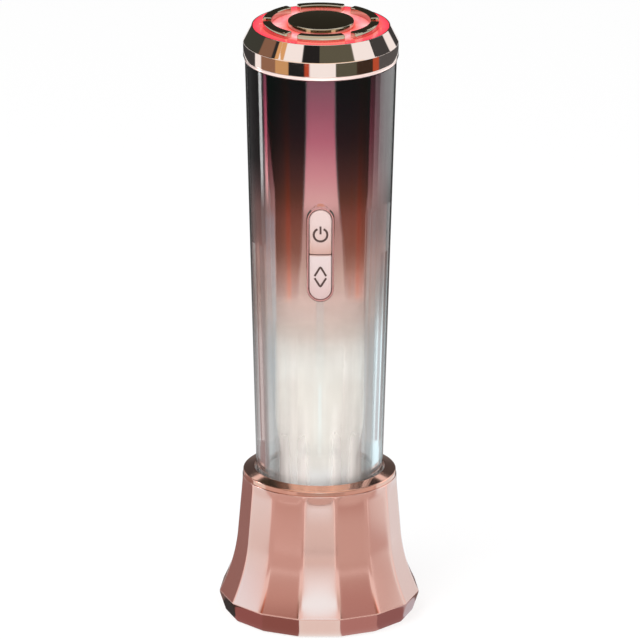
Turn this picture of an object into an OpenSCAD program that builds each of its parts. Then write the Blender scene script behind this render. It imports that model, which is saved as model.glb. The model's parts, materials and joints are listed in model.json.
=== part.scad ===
// Facial toning device standing in its charging stand.
// Millimetres, +Z up, origin on the floor at the middle of the stand, keys facing -Y.

/* [Stand] */
// Number of flat sides round the stand
facet_count = 15; // [9:1:24]
// Height of the outer edge of the rim above the floor
stand_h = 42.4; // [38:0.1:52]
// Corner radius at the widest ring
base_r = 28.7; // [27:0.1:36]
// Height of the upper edge of the widest ring above the floor
base_ring_z = 6.2; // [5:0.1:8]
// Height of the small upright band at the widest ring
base_band_h = 0.6; // [0.4:0.1:1.5]
// How far the shell's lower edge lies inside the widest ring
foot_in = 1.7; // [1:0.1:3]
// Gap between the floor and the lower edge of the shell
shell_lift = 0.5; // [0.3:0.1:1]
// Extra radius that the flare adds at the widest ring
flare_out = 3.7; // [2:0.1:6]
// Height of the flare above the widest ring
flare_h = 18; // [12:0.5:24]
// Height over which the flat sides fade into the round neck
fade_h = 5; // [3:0.5:8]
// Wall of the stand shell
stand_wall = 2.2; // [1.8:0.1:2.6]

/* [Rim] */
// Width of the polished rim, from the opening to its outer edge
rim_w = 3.19; // [2.7:0.01:4]
// Height of the upright band of the rim
rim_band_h = 1.4; // [1:0.1:3]
// Rise of the sloping top from the band to the opening
rim_rise = 1; // [0.5:0.1:2]
// Rounding between the band and the sloping top
rim_round = 0.35; // [0.1:0.05:0.6]
// Gap between the rim and the body of the device
rim_gap = 0.55; // [0.4:0.05:1]
// Step from the rim out to the neck of the shell
neck_step = 0.25; // [0.1:0.05:0.5]

/* [Cup] */
// Height of the cup floor, on which the device stands
cup_floor_z = 13; // [12.5:0.1:18]
// Thickness of the cup floor
cup_floor_t = 1.6; // [1.2:0.1:2.4]
// Wall of the cup liner
cup_wall = 1; // [0.8:0.1:1.2]
// Gap between the cup liner and the device
cup_gap = 0.35; // [0.3:0.05:0.6]
// Width of the flange that hangs the liner on the shell
cup_flange_w = 1; // [0.6:0.1:1.4]
// Thickness of that flange
cup_flange_t = 0.8; // [0.5:0.1:1.2]

/* [Stand inside] */
// Thickness of the base plate
base_plate_t = 1.6; // [1.2:0.1:2]
// Rubber foot ring: how far it stands out below the base plate
foot_out = 0.9; // [0.6:0.1:1.2]
// Rubber foot ring: its distance from the edge of the base plate
foot_edge = 0.96; // [0.6:0.02:2]
// Rubber foot ring: width
foot_w = 3; // [2:0.1:3.2]
// Height of the ballast ring
ballast_h = 3.6; // [3:0.1:4]
// Distance of the ballast ring from the edge of the base plate
ballast_edge = 2.96; // [2:0.02:4]
// Width of the ballast ring
ballast_w = 5.8; // [5:0.1:7]
// Gap between the charging board and the ballast ring, seen from above
charge_board_gap = 2.2; // [1.5:0.1:4]
// Height of the posts under the charging board
board_post_h = 4.2; // [3.5:0.1:5]
// Distance of the three base screws from the ballast ring's inner edge
base_screw_in = 2.6; // [2:0.1:2.8]

/* [Charging] */
// Radius of a sprung charging pin
pin_r = 1; // [0.8:0.05:1.3]
// Distance between the two charging pins
pin_pitch = 9; // [7:0.5:11]
// How far a pin stands above the cup floor
pin_out = 0.9; // [0.7:0.05:1]
// How far a pin can be pressed down
pin_travel = 0.8; // [0.4:0.05:0.9]
// Radius of a contact in the bottom of the device
contact_r = 1.9; // [1.5:0.1:2.4]
// Width of the power socket
socket_w = 9; // [8.5:0.1:10]
// Height of the power socket
socket_h = 3.3; // [3:0.1:3.6]
// Length of the power socket
socket_len = 7.4; // [7:0.1:9]
// Wall of the power socket
socket_wall = 0.35; // [0.3:0.05:0.5]

/* [Body] */
// Radius of the body at its lower end
body_r_bottom = 17.2; // [16.8:0.1:17.6]
// Radius of the body just below the head
body_r_top = 21.5; // [21:0.1:24]
// Length of the body from its lower end to the head
body_h = 151.8; // [146:0.1:185]
// Wall of the clear outer shell
shell_wall = 3; // [2.4:0.1:3.2]
// Thickness of the graded mirror sleeve
sleeve_t = 0.4; // [0.3:0.05:0.5]
// Flange of the bottom cap below the clear shell
cap_flange_t = 1.4; // [1:0.1:2]
// Length of the cap's spigot inside the shell
cap_spigot_h = 5; // [4:0.1:7]

/* [Head] */
// Height of the pale trim ring
trim_h = 1; // [0.6:0.1:1.6]
// How far the pale trim ring stands out from the body
trim_out = 0.2; // [0:0.05:0.4]
// How far the collar stands out from the body
collar_out = 0.5; // [0.3:0.05:1.2]
// Height of the collar's upright band
collar_band_h = 4.3; // [3.5:0.1:6]
// Height of the collar's sloping band
collar_slope_h = 4.6; // [4.2:0.1:6]
// Rounding at the knee of the collar
collar_knee = 0.5; // [0.2:0.05:0.8]
// How far the collar's slope runs in, from its band to the lit window
slope_in = 2.7; // [2:0.1:3.4]
// Thickness of the lit window
window_t = 2; // [1.6:0.1:2.4]
// Width of the ledge that carries the window
ledge_w = 1.3; // [1:0.1:1.6]
// Radius of the centre electrode
centre_r = 9.4; // [8:0.1:10.5]
// Height of the centre electrode's edge above the window
centre_edge = 1.6; // [0.3:0.05:2]
// Rise of the centre electrode's dome
centre_dome = 0.6; // [0.4:0.05:1.2]
// Number of arc electrodes
arc_count = 6; // [4:1:8]
// Distance of the arc electrodes from the edge of the window
arc_edge = 2.7; // [2.2:0.1:3.5]
// Width of an arc electrode
arc_w = 2.6; // [2.2:0.1:3.4]
// Angle that one arc electrode spans
arc_span = 49; // [30:1:52]
// Height of an arc electrode above the window
arc_rise = 1.8; // [0.4:0.05:2.2]
// Bevel along the top edges of an arc electrode
arc_bevel = 0.5; // [0.1:0.05:0.6]
// Radius of an electrode's post
post_r = 1.1; // [0.8:0.1:1.2]

/* [Keys] */
// Distance of the middle of the key pair below the head
keys_down = 52; // [40:0.1:56]
// Width of a key
key_w = 6.3; // [4.6:0.1:6.8]
// Length over both keys
keys_len = 26.8; // [22:0.1:32]
// Gap round a key and between the two keys
key_gap = 0.22; // [0.18:0.01:0.3]
// Wall of the key frame
frame_wall = 0.4; // [0.35:0.05:0.6]
// Depth of the key frame's face below the shell's surface
frame_sink = 0.25; // [0.1:0.05:0.4]
// Travel of the power key
key_travel = 0.5; // [0.3:0.05:0.6]
// Radius of the level key's trunnion
trunnion_r = 0.4; // [0.3:0.05:0.5]

/* [Core] */
// Gap between the core and the sleeve, where the core reaches its full width
core_gap = 2.35; // [2:0.01:2.9]
// Wall of the inner core
core_wall = 1.6; // [1.2:0.1:1.8]
// Radius of the core's narrow foot
core_foot_r = 10; // [8.5:0.1:10.5]
// Height above the device's lower end at which the core starts to widen
core_widen_from = 27; // [25:0.5:32]
// Height over which it widens
core_widen_h = 20; // [14:0.5:24]
// Distance of the core screws from the axis
core_screw_x = 9.1; // [9:0.1:9.3]

/* [Battery and boards] */
// Radius of the battery cell
cell_r = 7; // [6.5:0.1:7.2]
// Length of the battery cell
cell_len = 50; // [41:1:60]
// Gap between the cell and the core's rear wall
cell_gap = 0.7; // [0.3:0.05:1]
// Width of the main board
board_w = 15; // [12.5:0.1:15.4]
// Distance of the main board's lower end above the core's widening
board_low = 9; // [7:0.5:14]
// Distance of the main board's upper end below the head
board_high = 15.8; // [13:0.1:20]
// Thickness of the boards
board_t = 1.2; // [1:0.1:1.6]
// Gap between the main board's front face and the core's front wall
board_gap = 3.7; // [3.4:0.05:4.2]

/* [Hidden] */
// Clearances
fit_gap = 0.1;         // between pieces that stay put in each other
touch_gap = 0.05;      // between round faces that nearly touch
slide_gap = 0.06;      // round a sliding pin or a trunnion
e = 0.01;              // overshoot of a cut
through = 1;           // how far a cutting body stands out of what it cuts
far_front = -30;       // Y that lies in front of every piece
$fn = 96;
$small_fn = 32;        // fineness of thin beads

// Heights that follow from the sizes above
device_z = cup_floor_z;
shell_z = device_z + cap_flange_t;
body_top = device_z + body_h;
collar_z = body_top + trim_h;
knee_z = collar_z + collar_band_h;
collar_top = knee_z + collar_slope_h;
window_top = collar_top - fit_gap;
window_z = window_top - window_t;
contact_h = 0.8;       // of the contacts on the light board
led_room = 0.6;        // between those contacts and the window
core_foot_gap = 1.6;   // the core's foot stands this far above the shell's lower end
core_head_gap = 6.8;   // and its top this far below the head

// Radii of the head, from the window's edge inwards
trim_r = body_r_top + trim_out;
collar_r = body_r_top + collar_out;
window_r = collar_r - slope_in;
arc_r_out = window_r - arc_edge;
arc_r_in = arc_r_out - arc_w;

led_board_z = window_z - contact_h - board_t - led_room;
led_board_r = window_r - ledge_w - 0.5;
core_z = shell_z + core_foot_gap;
core_top = body_top - core_head_gap;
key_z = body_top - keys_down;

// Radius of the body, the shell's bore and the sleeve's bore at height z
function body_r(z) = body_r_bottom + (body_r_top - body_r_bottom) * (z - device_z) / body_h;
function bore_r(z) = body_r(z) - shell_wall;
function sleeve_in(z) = bore_r(z) - fit_gap - sleeve_t;

// Rim, neck and opening of the stand
rim_z = stand_h - rim_band_h;
opening_r = body_r(stand_h + rim_rise) + rim_gap;
rim_r = opening_r + rim_w;
neck_r = rim_r + neck_step;
foot_r = base_r - foot_in;
base_band_z = base_ring_z - base_band_h;
flange_r = cup_r_out(rim_z) + cup_flange_w;
function cup_r_in(z) = body_r(z) + cup_gap;
function cup_r_out(z) = cup_r_in(z) + cup_wall;

// ---- Shared shapes ----

// Ring or disc turned about the axis
module ring(r_out, r_in, z_low, z_high) {
    translate([0, 0, z_low]) difference() {
        cylinder(r = r_out, h = z_high - z_low);
        if (r_in > 0) translate([0, 0, -1]) cylinder(r = r_in, h = z_high - z_low + 2);
    }
}

// Solid between two heights whose radius follows the body, off further out
module body_form(off, z_low, z_high) {
    rotate_extrude() polygon([[0, z_low], [body_r(z_low) + off, z_low],
        [body_r(z_high) + off, z_high], [0, z_high]]);
}

module pill(w, len) {
    square([w, len - w], center = true);
    for (s = [-1, 1]) translate([0, s * (len - w) / 2]) circle(d = w);
}

// Upright pill-shaped block at the keys, from y_back forward to y_front
module pill_block(w, len, y_back, y_front) {
    translate([0, y_back, key_z]) rotate([90, 0, 0]) linear_extrude(y_back - y_front) pill(w, len);
}

// Pan-head screw, head at the origin, shank along -Z
module screw(head_r, head_h, shank_r, shank_len) {
    slot_len = head_r * 1.2;
    slot_w = 0.4;
    difference() {
        union() {
            cylinder(r = head_r, h = head_h);
            translate([0, 0, -shank_len]) cylinder(r = shank_r, h = shank_len + e);
        }
        for (a = [0, 90]) rotate(a) translate([-slot_len / 2, -slot_w / 2, head_h * 0.45])
            cube([slot_len, slot_w, head_h]);
    }
}

// ---- Stand ----

// Corner radius of the flared shell at height z
function shell_r(z) =
    z < base_band_z ? foot_r + foot_in * (z - shell_lift) / (base_band_z - shell_lift)
    : z < base_ring_z ? base_r
    : neck_r + (base_r - flare_out - neck_r) * (rim_z - z) / (rim_z - base_ring_z)
        + flare_out * pow(max(0, base_ring_z + flare_h - z) / flare_h, 2);

// Share of roundness at height z: 0 has flat sides, 1 is a true circle
function roundness(z) = pow(max(0, min(1, (z - rim_z + fade_h) / fade_h)), 1.5);

facet_angle = 360 / facet_count;
facet_steps = 4;       // points along one flat side
ring_points = facet_count * facet_steps;

// Radius at angle a of a ring whose corners lie at corner_r
function facet_radius(a, corner_r, round_share) =
    let (off = (a + facet_angle / 2) % facet_angle - facet_angle / 2,
        flat_r = corner_r * cos(facet_angle / 2) / cos(off))
    flat_r + (corner_r - flat_r) * round_share;

// One ring of points, a flat side facing -Y
function shell_ring(z, corner_r, round_share) = [
    for (i = [0 : ring_points - 1])
        let (a = i * facet_angle / facet_steps, r = facet_radius(a, corner_r, round_share))
        [r * sin(a), -r * cos(a), z]];

flare_rings = 9;
shell_levels = concat(
    [shell_lift, base_band_z],
    [for (i = [0 : flare_rings]) base_ring_z + flare_h * i / flare_rings],
    [for (i = [1 : 2]) base_ring_z + flare_h + (rim_z - fade_h - base_ring_z - flare_h) * i / 2],
    [for (i = [1 : 4]) rim_z - fade_h + fade_h * i / 4]);

// Hollow faceted tube: rings up the outside, then down the inside
module flared_tube() {
    levels = len(shell_levels);
    outer = [for (z = shell_levels) each shell_ring(z, shell_r(z), roundness(z))];
    inner = [for (i = [levels - 1 : -1 : 0])
        let (z = shell_levels[i])
        each shell_ring(z, shell_r(z) - stand_wall, roundness(z))];
    rings = 2 * levels;
    n = ring_points;
    faces = [for (k = [0 : rings - 1], i = [0 : n - 1])
        let (a = k * n + i, b = k * n + (i + 1) % n,
            c = ((k + 1) % rings) * n + (i + 1) % n, d = ((k + 1) % rings) * n + i)
        each [[a, c, b], [a, d, c]]];
    polyhedron(concat(outer, inner), faces, convexity = 6);
}

base_plate_z = foot_out;
base_plate_gap = 0.3;  // between the base plate and the shell
base_plate_r = (foot_r - stand_wall) * cos(facet_angle / 2) - base_plate_gap;
foot_mid_r = base_plate_r - foot_edge - foot_w / 2;
ballast_r_out = base_plate_r - ballast_edge;
ballast_r_in = ballast_r_out - ballast_w;
base_screw_at = ballast_r_in + base_screw_in;
charge_board_r = ballast_r_in - charge_board_gap;
ballast_z = base_plate_z + base_plate_t;
charge_board_z = ballast_z + board_post_h;
socket_in = 3.2;       // depth of the power socket's face below the shell's widest ring
socket_gap = 0.4;      // between the shell and the power socket
socket_y = base_r * cos(facet_angle / 2) - socket_in;
socket_z = charge_board_z + board_t + socket_h / 2;

module stand_shell() {
    color("#d9a08c") difference() {
        flared_tube();
        // Way in to the power socket
        translate([-socket_w / 2 - socket_gap, base_r / 2, socket_z - socket_h / 2 - socket_gap])
            cube([socket_w + 2 * socket_gap, base_r, socket_h + 2 * socket_gap]);
    }
}

module stand_rim() {
    under = rim_z + cup_flange_t + fit_gap;
    color("#e0a58f") rotate_extrude() difference() {
        union() {
            translate([opening_r, rim_z]) square([rim_r - opening_r, rim_band_h - rim_round]);
            translate([opening_r, rim_z])
                square([rim_r - rim_round - opening_r, rim_band_h]);
            translate([rim_r - rim_round, stand_h - rim_round]) circle(r = rim_round);
            polygon([[opening_r, stand_h - e], [rim_r - rim_round, stand_h - e],
                [rim_r - rim_round, stand_h], [opening_r, stand_h + rim_rise]]);
        }
        // Seat over the flange of the cup liner
        translate([opening_r - 1, rim_z - 1]) square([flange_r + fit_gap - opening_r + 1, under - rim_z + 1]);
    }
}

module cup_liner() {
    floor_low = cup_floor_z - cup_floor_t;
    color("#2b2523") difference() {
        rotate_extrude() polygon([[0, floor_low], [cup_r_out(floor_low), floor_low],
            [cup_r_out(rim_z), rim_z], [flange_r, rim_z], [flange_r, rim_z + cup_flange_t],
            [0, rim_z + cup_flange_t]]);
        rotate_extrude() polygon([[0, cup_floor_z], [cup_r_in(cup_floor_z), cup_floor_z],
            [cup_r_in(stand_h), stand_h], [0, stand_h]]);
        for (s = [-1, 1]) translate([s * pin_pitch / 2, 0, floor_low - 1])
            cylinder(r = pin_r + slide_gap, h = cup_floor_t + 2);
    }
}

module base_screw_places() {
    for (a = [90, 210, 330]) rotate(a) translate([base_screw_at, 0, 0]) children();
}

screw_shank_r = 0.9;
screw_head_r = 1.7;
screw_head_h = 1;
post_in = 2;           // of the board's posts inside the board's edge

module base_plate() {
    color("#27211f") difference() {
        union() {
            ring(base_plate_r, 0, base_plate_z, base_plate_z + base_plate_t);
            // Posts under the charging board
            for (a = [45 : 90 : 315]) rotate(a) translate([charge_board_r - post_in, 0, base_plate_z])
                cylinder(r = post_in - 0.5, h = base_plate_t + board_post_h);
        }
        // Seat of the rubber ring
        ring(foot_mid_r + foot_w / 2 + touch_gap, foot_mid_r - foot_w / 2 - touch_gap,
            base_plate_z - 1, base_plate_z + foot_out / 2);
        base_screw_places() {
            translate([0, 0, base_plate_z - 1]) cylinder(r = screw_shank_r + fit_gap, h = 5);
            translate([0, 0, base_plate_z - 1]) cylinder(r = screw_head_r + fit_gap, h = 1 + screw_head_h);
        }
    }
}

module foot_ring() {
    edge = 0.35;
    color("#1c1a1a") rotate_extrude() translate([foot_mid_r - foot_w / 2, 0]) difference() {
        square([foot_w, foot_out * 1.5]);
        // Rounded lower corners
        for (s = [0, 1]) translate([s * foot_w, 0]) mirror([s, 0]) difference() {
            translate([-e, -e]) square(edge + e);
            translate([edge, edge]) circle(r = edge);
        }
    }
}

module ballast_ring() {
    color("#8d9094") difference() {
        ring(ballast_r_out, ballast_r_in, ballast_z, ballast_z + ballast_h);
        base_screw_places() translate([0, 0, ballast_z - 1])
            cylinder(r = screw_shank_r + touch_gap, h = ballast_h + 2);
    }
}

lead_hole_x = 6;
lead_hole_r = 0.8;

module charging_board() {
    color("#2f6b3a") difference() {
        union() {
            ring(charge_board_r, 0, charge_board_z, charge_board_z + board_t);
            // Tongue that carries the power socket
            translate([-socket_w / 2 - 1, 0, charge_board_z])
                cube([socket_w + 2, socket_y - 1, board_t]);
        }
        // Holes for the leads
        for (s = [-1, 1]) translate([s * lead_hole_x, 0, charge_board_z - through])
            cylinder(r = lead_hole_r, h = board_t + 2 * through);
    }
}

barrel_wall = 0.5;
barrel_r = pin_r + barrel_wall;
barrel_top = cup_floor_z - cup_floor_t - touch_gap;
barrel_bore_z = charge_board_z + board_t + barrel_wall;
spring_room = 0.2;     // below a pin that is pressed all the way down
pin_low = barrel_bore_z + pin_travel + spring_room;

module pin_barrels() {
    color("#c9a35a") for (s = [-1, 1]) translate([s * pin_pitch / 2, 0, 0]) difference() {
        ring(barrel_r, 0, charge_board_z + board_t, barrel_top);
        translate([0, 0, barrel_bore_z]) cylinder(r = pin_r + slide_gap, h = barrel_top);
    }
}

// Sprung contact pin with a rounded tip
module charging_pin(side) {
    tip_round = pin_r * 0.5;
    tip_z = cup_floor_z + pin_out;
    color("#e2c27a") translate([side * pin_pitch / 2, 0, 0]) rotate_extrude() union() {
        translate([0, pin_low]) square([pin_r, tip_z - tip_round - pin_low]);
        translate([0, pin_low]) square([pin_r - tip_round, tip_z - pin_low]);
        intersection() {
            translate([pin_r - tip_round, tip_z - tip_round]) circle(r = tip_round);
            translate([0, pin_low]) square([pin_r, tip_z - pin_low]);
        }
    }
}

// Open-mouthed metal socket with its tongue
module power_socket() {
    tongue_w = socket_w - 3.2;
    tongue_t = 0.7;
    tongue_in = 0.5;
    color("#b9bcc0") translate([0, socket_y, socket_z]) rotate([90, 0, 0]) difference() {
        linear_extrude(socket_len) rotate(90) pill(socket_h, socket_w);
        difference() {
            translate([0, 0, -through]) linear_extrude(socket_len - 0.8) rotate(90)
                pill(socket_h - 2 * socket_wall, socket_w - 2 * socket_wall);
            translate([-tongue_w / 2, -tongue_t / 2, -tongue_in]) cube([tongue_w, tongue_t, socket_len]);
        }
    }
}

module base_screws() {
    color("#5c5e62") base_screw_places() translate([0, 0, base_plate_z + screw_head_h - e])
        mirror([0, 0, 1]) screw(screw_head_r, screw_head_h - 0.2, screw_shank_r, ballast_h + 0.4);
}

// ---- Body of the device ----

frame_w = key_w + 2 * (key_gap + frame_wall);
frame_len = keys_len + 2 * (key_gap + frame_wall);

module outer_shell() {
    color("#e9e4e6", 0.35) difference() {
        body_form(0, shell_z, body_top);
        body_form(-shell_wall, shell_z - 1, body_top + 1);
        pill_block(frame_w + 2 * fit_gap, frame_len + 2 * fit_gap, -8, far_front);
    }
}

module gradient_sleeve() {
    sleeve_z = shell_z + cap_spigot_h + fit_gap;
    color("#8e4a5c") difference() {
        body_form(-shell_wall - fit_gap, sleeve_z, body_top - fit_gap);
        body_form(-shell_wall - fit_gap - sleeve_t, sleeve_z - 1, body_top + 1);
        pill_block(frame_w + 2 * fit_gap, frame_len + 2 * fit_gap, -8, far_front);
    }
}

core_widen_z = device_z + core_widen_from;
core_full_z = core_widen_z + core_widen_h;
core_r = sleeve_in(core_full_z) - core_gap;
cavity_r = core_r - core_wall;
cavity_top = core_top - 4;

// The key well and the turret round it
turret_front = -(sleeve_in(key_z - frame_len / 2) - 1.0);
turret_wall = 1.1;
well_floor = -core_r + 0.5;
well_w = frame_w + fit_gap;
well_len = frame_len + fit_gap;

core_steps = 6;        // rings in the curve from the foot to the full width

// Outline of the core, r against z, widening in a soft S
module core_outline(off, z_low, z_high) {
    curve = [for (i = [0 : core_steps])
        let (share = (1 - cos(180 * i / core_steps)) / 2)
        [core_foot_r + (core_r - core_foot_r) * share + off, core_widen_z + core_widen_h * i / core_steps]];
    polygon(concat([[0, z_low], [core_foot_r + off, z_low]], curve, [[core_r + off, z_high], [0, z_high]]));
}

// Half of the hollow core, on the +Y side
module core_half() {
    difference() {
        rotate_extrude(angle = 180) core_outline(0, core_z, core_top);
        rotate([0, 0, -1]) rotate_extrude(angle = 182)
            core_outline(-core_wall, core_z + core_wall, cavity_top);
        // Way for the leads to the head, and to the contacts below
        translate([0, 0, cavity_top - 1]) cylinder(r = 4, h = 8);
        for (s = [-1, 1]) translate([s * pin_pitch / 2, 0, core_z - 1]) cylinder(r = 2.6, h = 4);
    }
}

core_screw_heights = [core_full_z + 6, core_top - 18];
core_boss_r = 1.75;
head_screw_y = 8.8;

module at_core_screws() {
    for (s = [-1, 1], z = core_screw_heights) translate([s * core_screw_x, 0, z]) children();
}

// Boss round each screw, kept inside the core's wall
module core_bosses(y_low, y_high) {
    intersection() {
        at_core_screws() translate([0, y_high, 0]) rotate([90, 0, 0])
            cylinder(r = core_boss_r, h = y_high - y_low);
        cylinder(r = core_r - 0.3, h = core_top);
    }
}

board_front = cavity_r - board_gap;
board_back = -board_front + board_t;
board_z = core_full_z + board_low;
board_len = body_top - board_high - board_z;
rail_heights = [board_z + 2, key_z - frame_len / 2 - 12, board_z + board_len - 9];

// Pairs of rails on the side walls, which hold the board's long edges
module board_rails() {
    intersection() {
        for (s = [-1, 1], y = [-board_front - 1.1, board_back + touch_gap], z = rail_heights)
            translate([s * (board_w / 2 + 1.2) - 2, y - touch_gap, z]) cube([4, 1.1, 7]);
        translate([0, 0, core_full_z]) cylinder(r = cavity_r + 0.4, h = cavity_top - core_full_z);
    }
}

module core_front() {
    color("#e9e4d8") difference() {
        union() {
            rotate([0, 0, 180]) core_half();
            core_bosses(-5.4, 0);
            // Turret round the key well
            intersection() {
                pill_block(well_w + 2 * turret_wall, well_len + 2 * turret_wall, -cavity_r, turret_front);
                body_form(-shell_wall - sleeve_t - 0.3, key_z - frame_len, key_z + frame_len);
            }
            // Boss of the front head screw
            translate([0, -head_screw_y, cavity_top - 2]) cylinder(r = 1.8, h = 4);
            board_rails();
        }
        // Key well and the opening behind it
        pill_block(well_w, well_len, well_floor, far_front);
        pill_block(well_w - 1.4, well_len - 1.4, -cavity_r + 3, far_front);
        at_core_screws() translate([0, 1, 0]) rotate([90, 0, 0]) cylinder(r = screw_shank_r, h = 5.4);
        translate([0, -head_screw_y, cavity_top - 1.6]) cylinder(r = screw_shank_r, h = 8);
    }
}

module core_rear() {
    color("#e9e4d8") difference() {
        union() {
            core_half();
            core_bosses(0, 8);
            translate([0, head_screw_y, cavity_top - 2]) cylinder(r = 1.8, h = 4);
        }
        at_core_screws() translate([0, -1, 0]) rotate([-90, 0, 0])
            cylinder(r = screw_shank_r + fit_gap, h = 14);
        at_core_screws() translate([0, 6, 0]) rotate([-90, 0, 0])
            cylinder(r = screw_head_r + fit_gap, h = 8);
        translate([0, head_screw_y, cavity_top - 1.6]) cylinder(r = screw_shank_r, h = 8);
    }
}

module core_screws() {
    color("#5c5e62") at_core_screws() translate([0, 6, 0]) rotate([-90, 0, 0])
        screw(screw_head_r, screw_head_h, screw_shank_r - touch_gap, 9.6);
}

cap_spigot_r = bore_r(shell_z) - fit_gap;

module bottom_cap() {
    seal_z = shell_z + 1.8;
    color("#d9a08c") difference() {
        union() {
            // Flange with a rounded lower edge
            rotate_extrude() union() {
                translate([0, device_z]) square([body_r(device_z) - 0.6, cap_flange_t]);
                translate([0, device_z + 0.6]) square([body_r(device_z), cap_flange_t - 0.6]);
                translate([body_r(device_z) - 0.6, device_z + 0.6]) circle(r = 0.6);
            }
            ring(cap_spigot_r, 0, shell_z - e, shell_z + cap_spigot_h);
        }
        // Groove of the seal
        ring(cap_spigot_r + 1, cap_spigot_r - 1.1, seal_z - 0.75, seal_z + 0.75);
        // Seat of the core's foot
        ring(core_foot_r + fit_gap, 0, core_z, shell_z + cap_spigot_h + 1);
        for (s = [-1, 1]) translate([s * pin_pitch / 2, 0, device_z - 1])
            cylinder(r = contact_r + touch_gap, h = 8);
    }
}

module bottom_seal() {
    color("#1f1d1d") rotate_extrude() translate([cap_spigot_r - 0.52, shell_z + 1.8])
        circle(r = 0.5, $fn = $small_fn);
}

module charging_contacts() {
    color("#e2c27a") for (s = [-1, 1]) translate([s * pin_pitch / 2, 0, 0]) {
        ring(contact_r, 0, device_z + pin_out + touch_gap, core_z);
        ring(contact_r + 0.5, 0, core_z, core_z + 0.8);
    }
}

// ---- Battery and boards ----

cell_z = core_full_z + 3;
cell_back = cavity_r - cell_r - cell_gap;

module battery_cell() {
    color("#3c66a8") translate([0, cell_back, cell_z]) {
        cylinder(r = cell_r, h = cell_len);
        translate([0, 0, cell_len - e]) cylinder(r = cell_r * 0.38, h = 1.4);
    }
}

// Two half saddles between the cell and the rear half of the core
module battery_saddles() {
    color("#4a4a4e") for (z = [cell_z + 7, cell_z + cell_len - 13]) intersection() {
        difference() {
            translate([0, 0, z]) cylinder(r = cavity_r - touch_gap, h = 6);
            translate([0, cell_back, z - 1]) cylinder(r = cell_r + touch_gap, h = 8);
        }
        translate([-cavity_r, cell_back + 1, z]) cube([2 * cavity_r, cavity_r, 6]);
    }
}

module main_board() {
    color("#2f6b3a") difference() {
        translate([-board_w / 2, -board_front, board_z]) cube([board_w, board_t, board_len]);
        for (s = [-1, 1], z = [board_z + 3, board_z + board_len - 3])
            translate([s * (board_w / 2 - 2), 0, z]) rotate([90, 0, 0]) cylinder(r = 1, h = 12);
    }
}

transformer_z = cell_z + cell_len + 6;

module rf_transformer() {
    color("#4d4238") translate([-4, board_back, transformer_z]) union() {
        cube([8, 5.5, 2]);
        translate([0, 0, 7]) cube([8, 5.5, 2]);
        translate([4, 2.75, 1.9]) cylinder(r = 2.5, h = 5.2);
    }
}

// Keys: the power key above, the level key below
key_each = (keys_len - key_gap) / 2;
power_mid = key_z + (key_gap + key_each) / 2;
level_mid = key_z - (key_gap + key_each) / 2;
rocker_arm = 3.8;                     // from the trunnion to a stem
switch_heights = [power_mid, level_mid + rocker_arm, level_mid - rocker_arm];
mat_t = 0.6;
mat_front = well_floor - mat_t;
pad_out = 0.4;
stem_end = mat_front - pad_out - key_travel - touch_gap;
level_stem_end = mat_front - pad_out - 0.3;

module tact_switches() {
    color("#3a3b3f") for (z = switch_heights) translate([0, -board_front, z]) rotate([90, 0, 0]) {
        translate([-2.2, -2.2, 0]) cube([4.4, 4.4, 2]);
        translate([0, 0, 2 - e]) cylinder(r = 1, h = -board_front - well_floor - 2 - touch_gap + e);
    }
}

module key_mat() {
    color("#cfc9c4") union() {
        pill_block(well_w - 2 * fit_gap, well_len - 2 * fit_gap, well_floor, mat_front);
        for (z = switch_heights) translate([0, mat_front + e, z]) rotate([90, 0, 0])
            cylinder(r1 = 1.7, r2 = 1.4, h = pad_out + e);
    }
}

trunnion_y = -(body_r(level_mid) - 2.4);
trunnion_len = key_w + 2 * key_gap + 1.2 * frame_wall;

module button_frame() {
    color("#b5707a") difference() {
        intersection() {
            pill_block(frame_w, frame_len, turret_front, far_front);
            body_form(-frame_sink, key_z - frame_len, key_z + frame_len);
        }
        pill_block(frame_w - 2 * frame_wall, frame_len - 2 * frame_wall, 0, far_front - through);
        translate([0, trunnion_y, level_mid]) rotate([0, 90, 0])
            cylinder(r = trunnion_r + slide_gap, h = trunnion_len + 2 * touch_gap, center = true);
    }
}

// One key of the pair, cut from the pill; side 1 is the upper one
module key_cap(side) {
    back = turret_front + 0.1;
    intersection() {
        pill_block(key_w, keys_len, back, far_front);
        body_form(0, key_z - frame_len, key_z + frame_len);
        translate([-key_w, far_front, key_z + (side > 0 ? key_gap / 2 : -key_gap / 2 - key_each)])
            cube([2 * key_w, -far_front, key_each]);
    }
}

module power_key() {
    lip_front = turret_front + 0.1;
    color("#e8c6c4") union() {
        key_cap(1);
        // Lip that stops behind the key frame
        intersection() {
            pill_block(key_w + 2 * key_gap + 0.5, keys_len + 2 * key_gap + 0.5,
                lip_front + 0.6, lip_front - e);
            translate([-key_w, far_front, key_z + key_gap / 2])
                cube([2 * key_w, -far_front, 2 * key_each]);
        }
        translate([0, stem_end, power_mid]) rotate([90, 0, 0])
            cylinder(r = 1, h = stem_end - lip_front - 0.5);
    }
}

module level_key() {
    color("#e8c6c4") union() {
        key_cap(-1);
        translate([0, trunnion_y, level_mid]) rotate([0, 90, 0])
            cylinder(r = trunnion_r, h = trunnion_len, center = true);
        for (s = [-1, 1]) translate([0, level_stem_end, level_mid + s * rocker_arm]) rotate([90, 0, 0])
            cylinder(r = 0.9, h = level_stem_end - turret_front);
    }
}

// ---- Head ----

head_frame_r = sleeve_in(core_top) - fit_gap;
frame_top = window_z - ledge_w + 0.1;
seal_at = core_top + 3.6;

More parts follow.
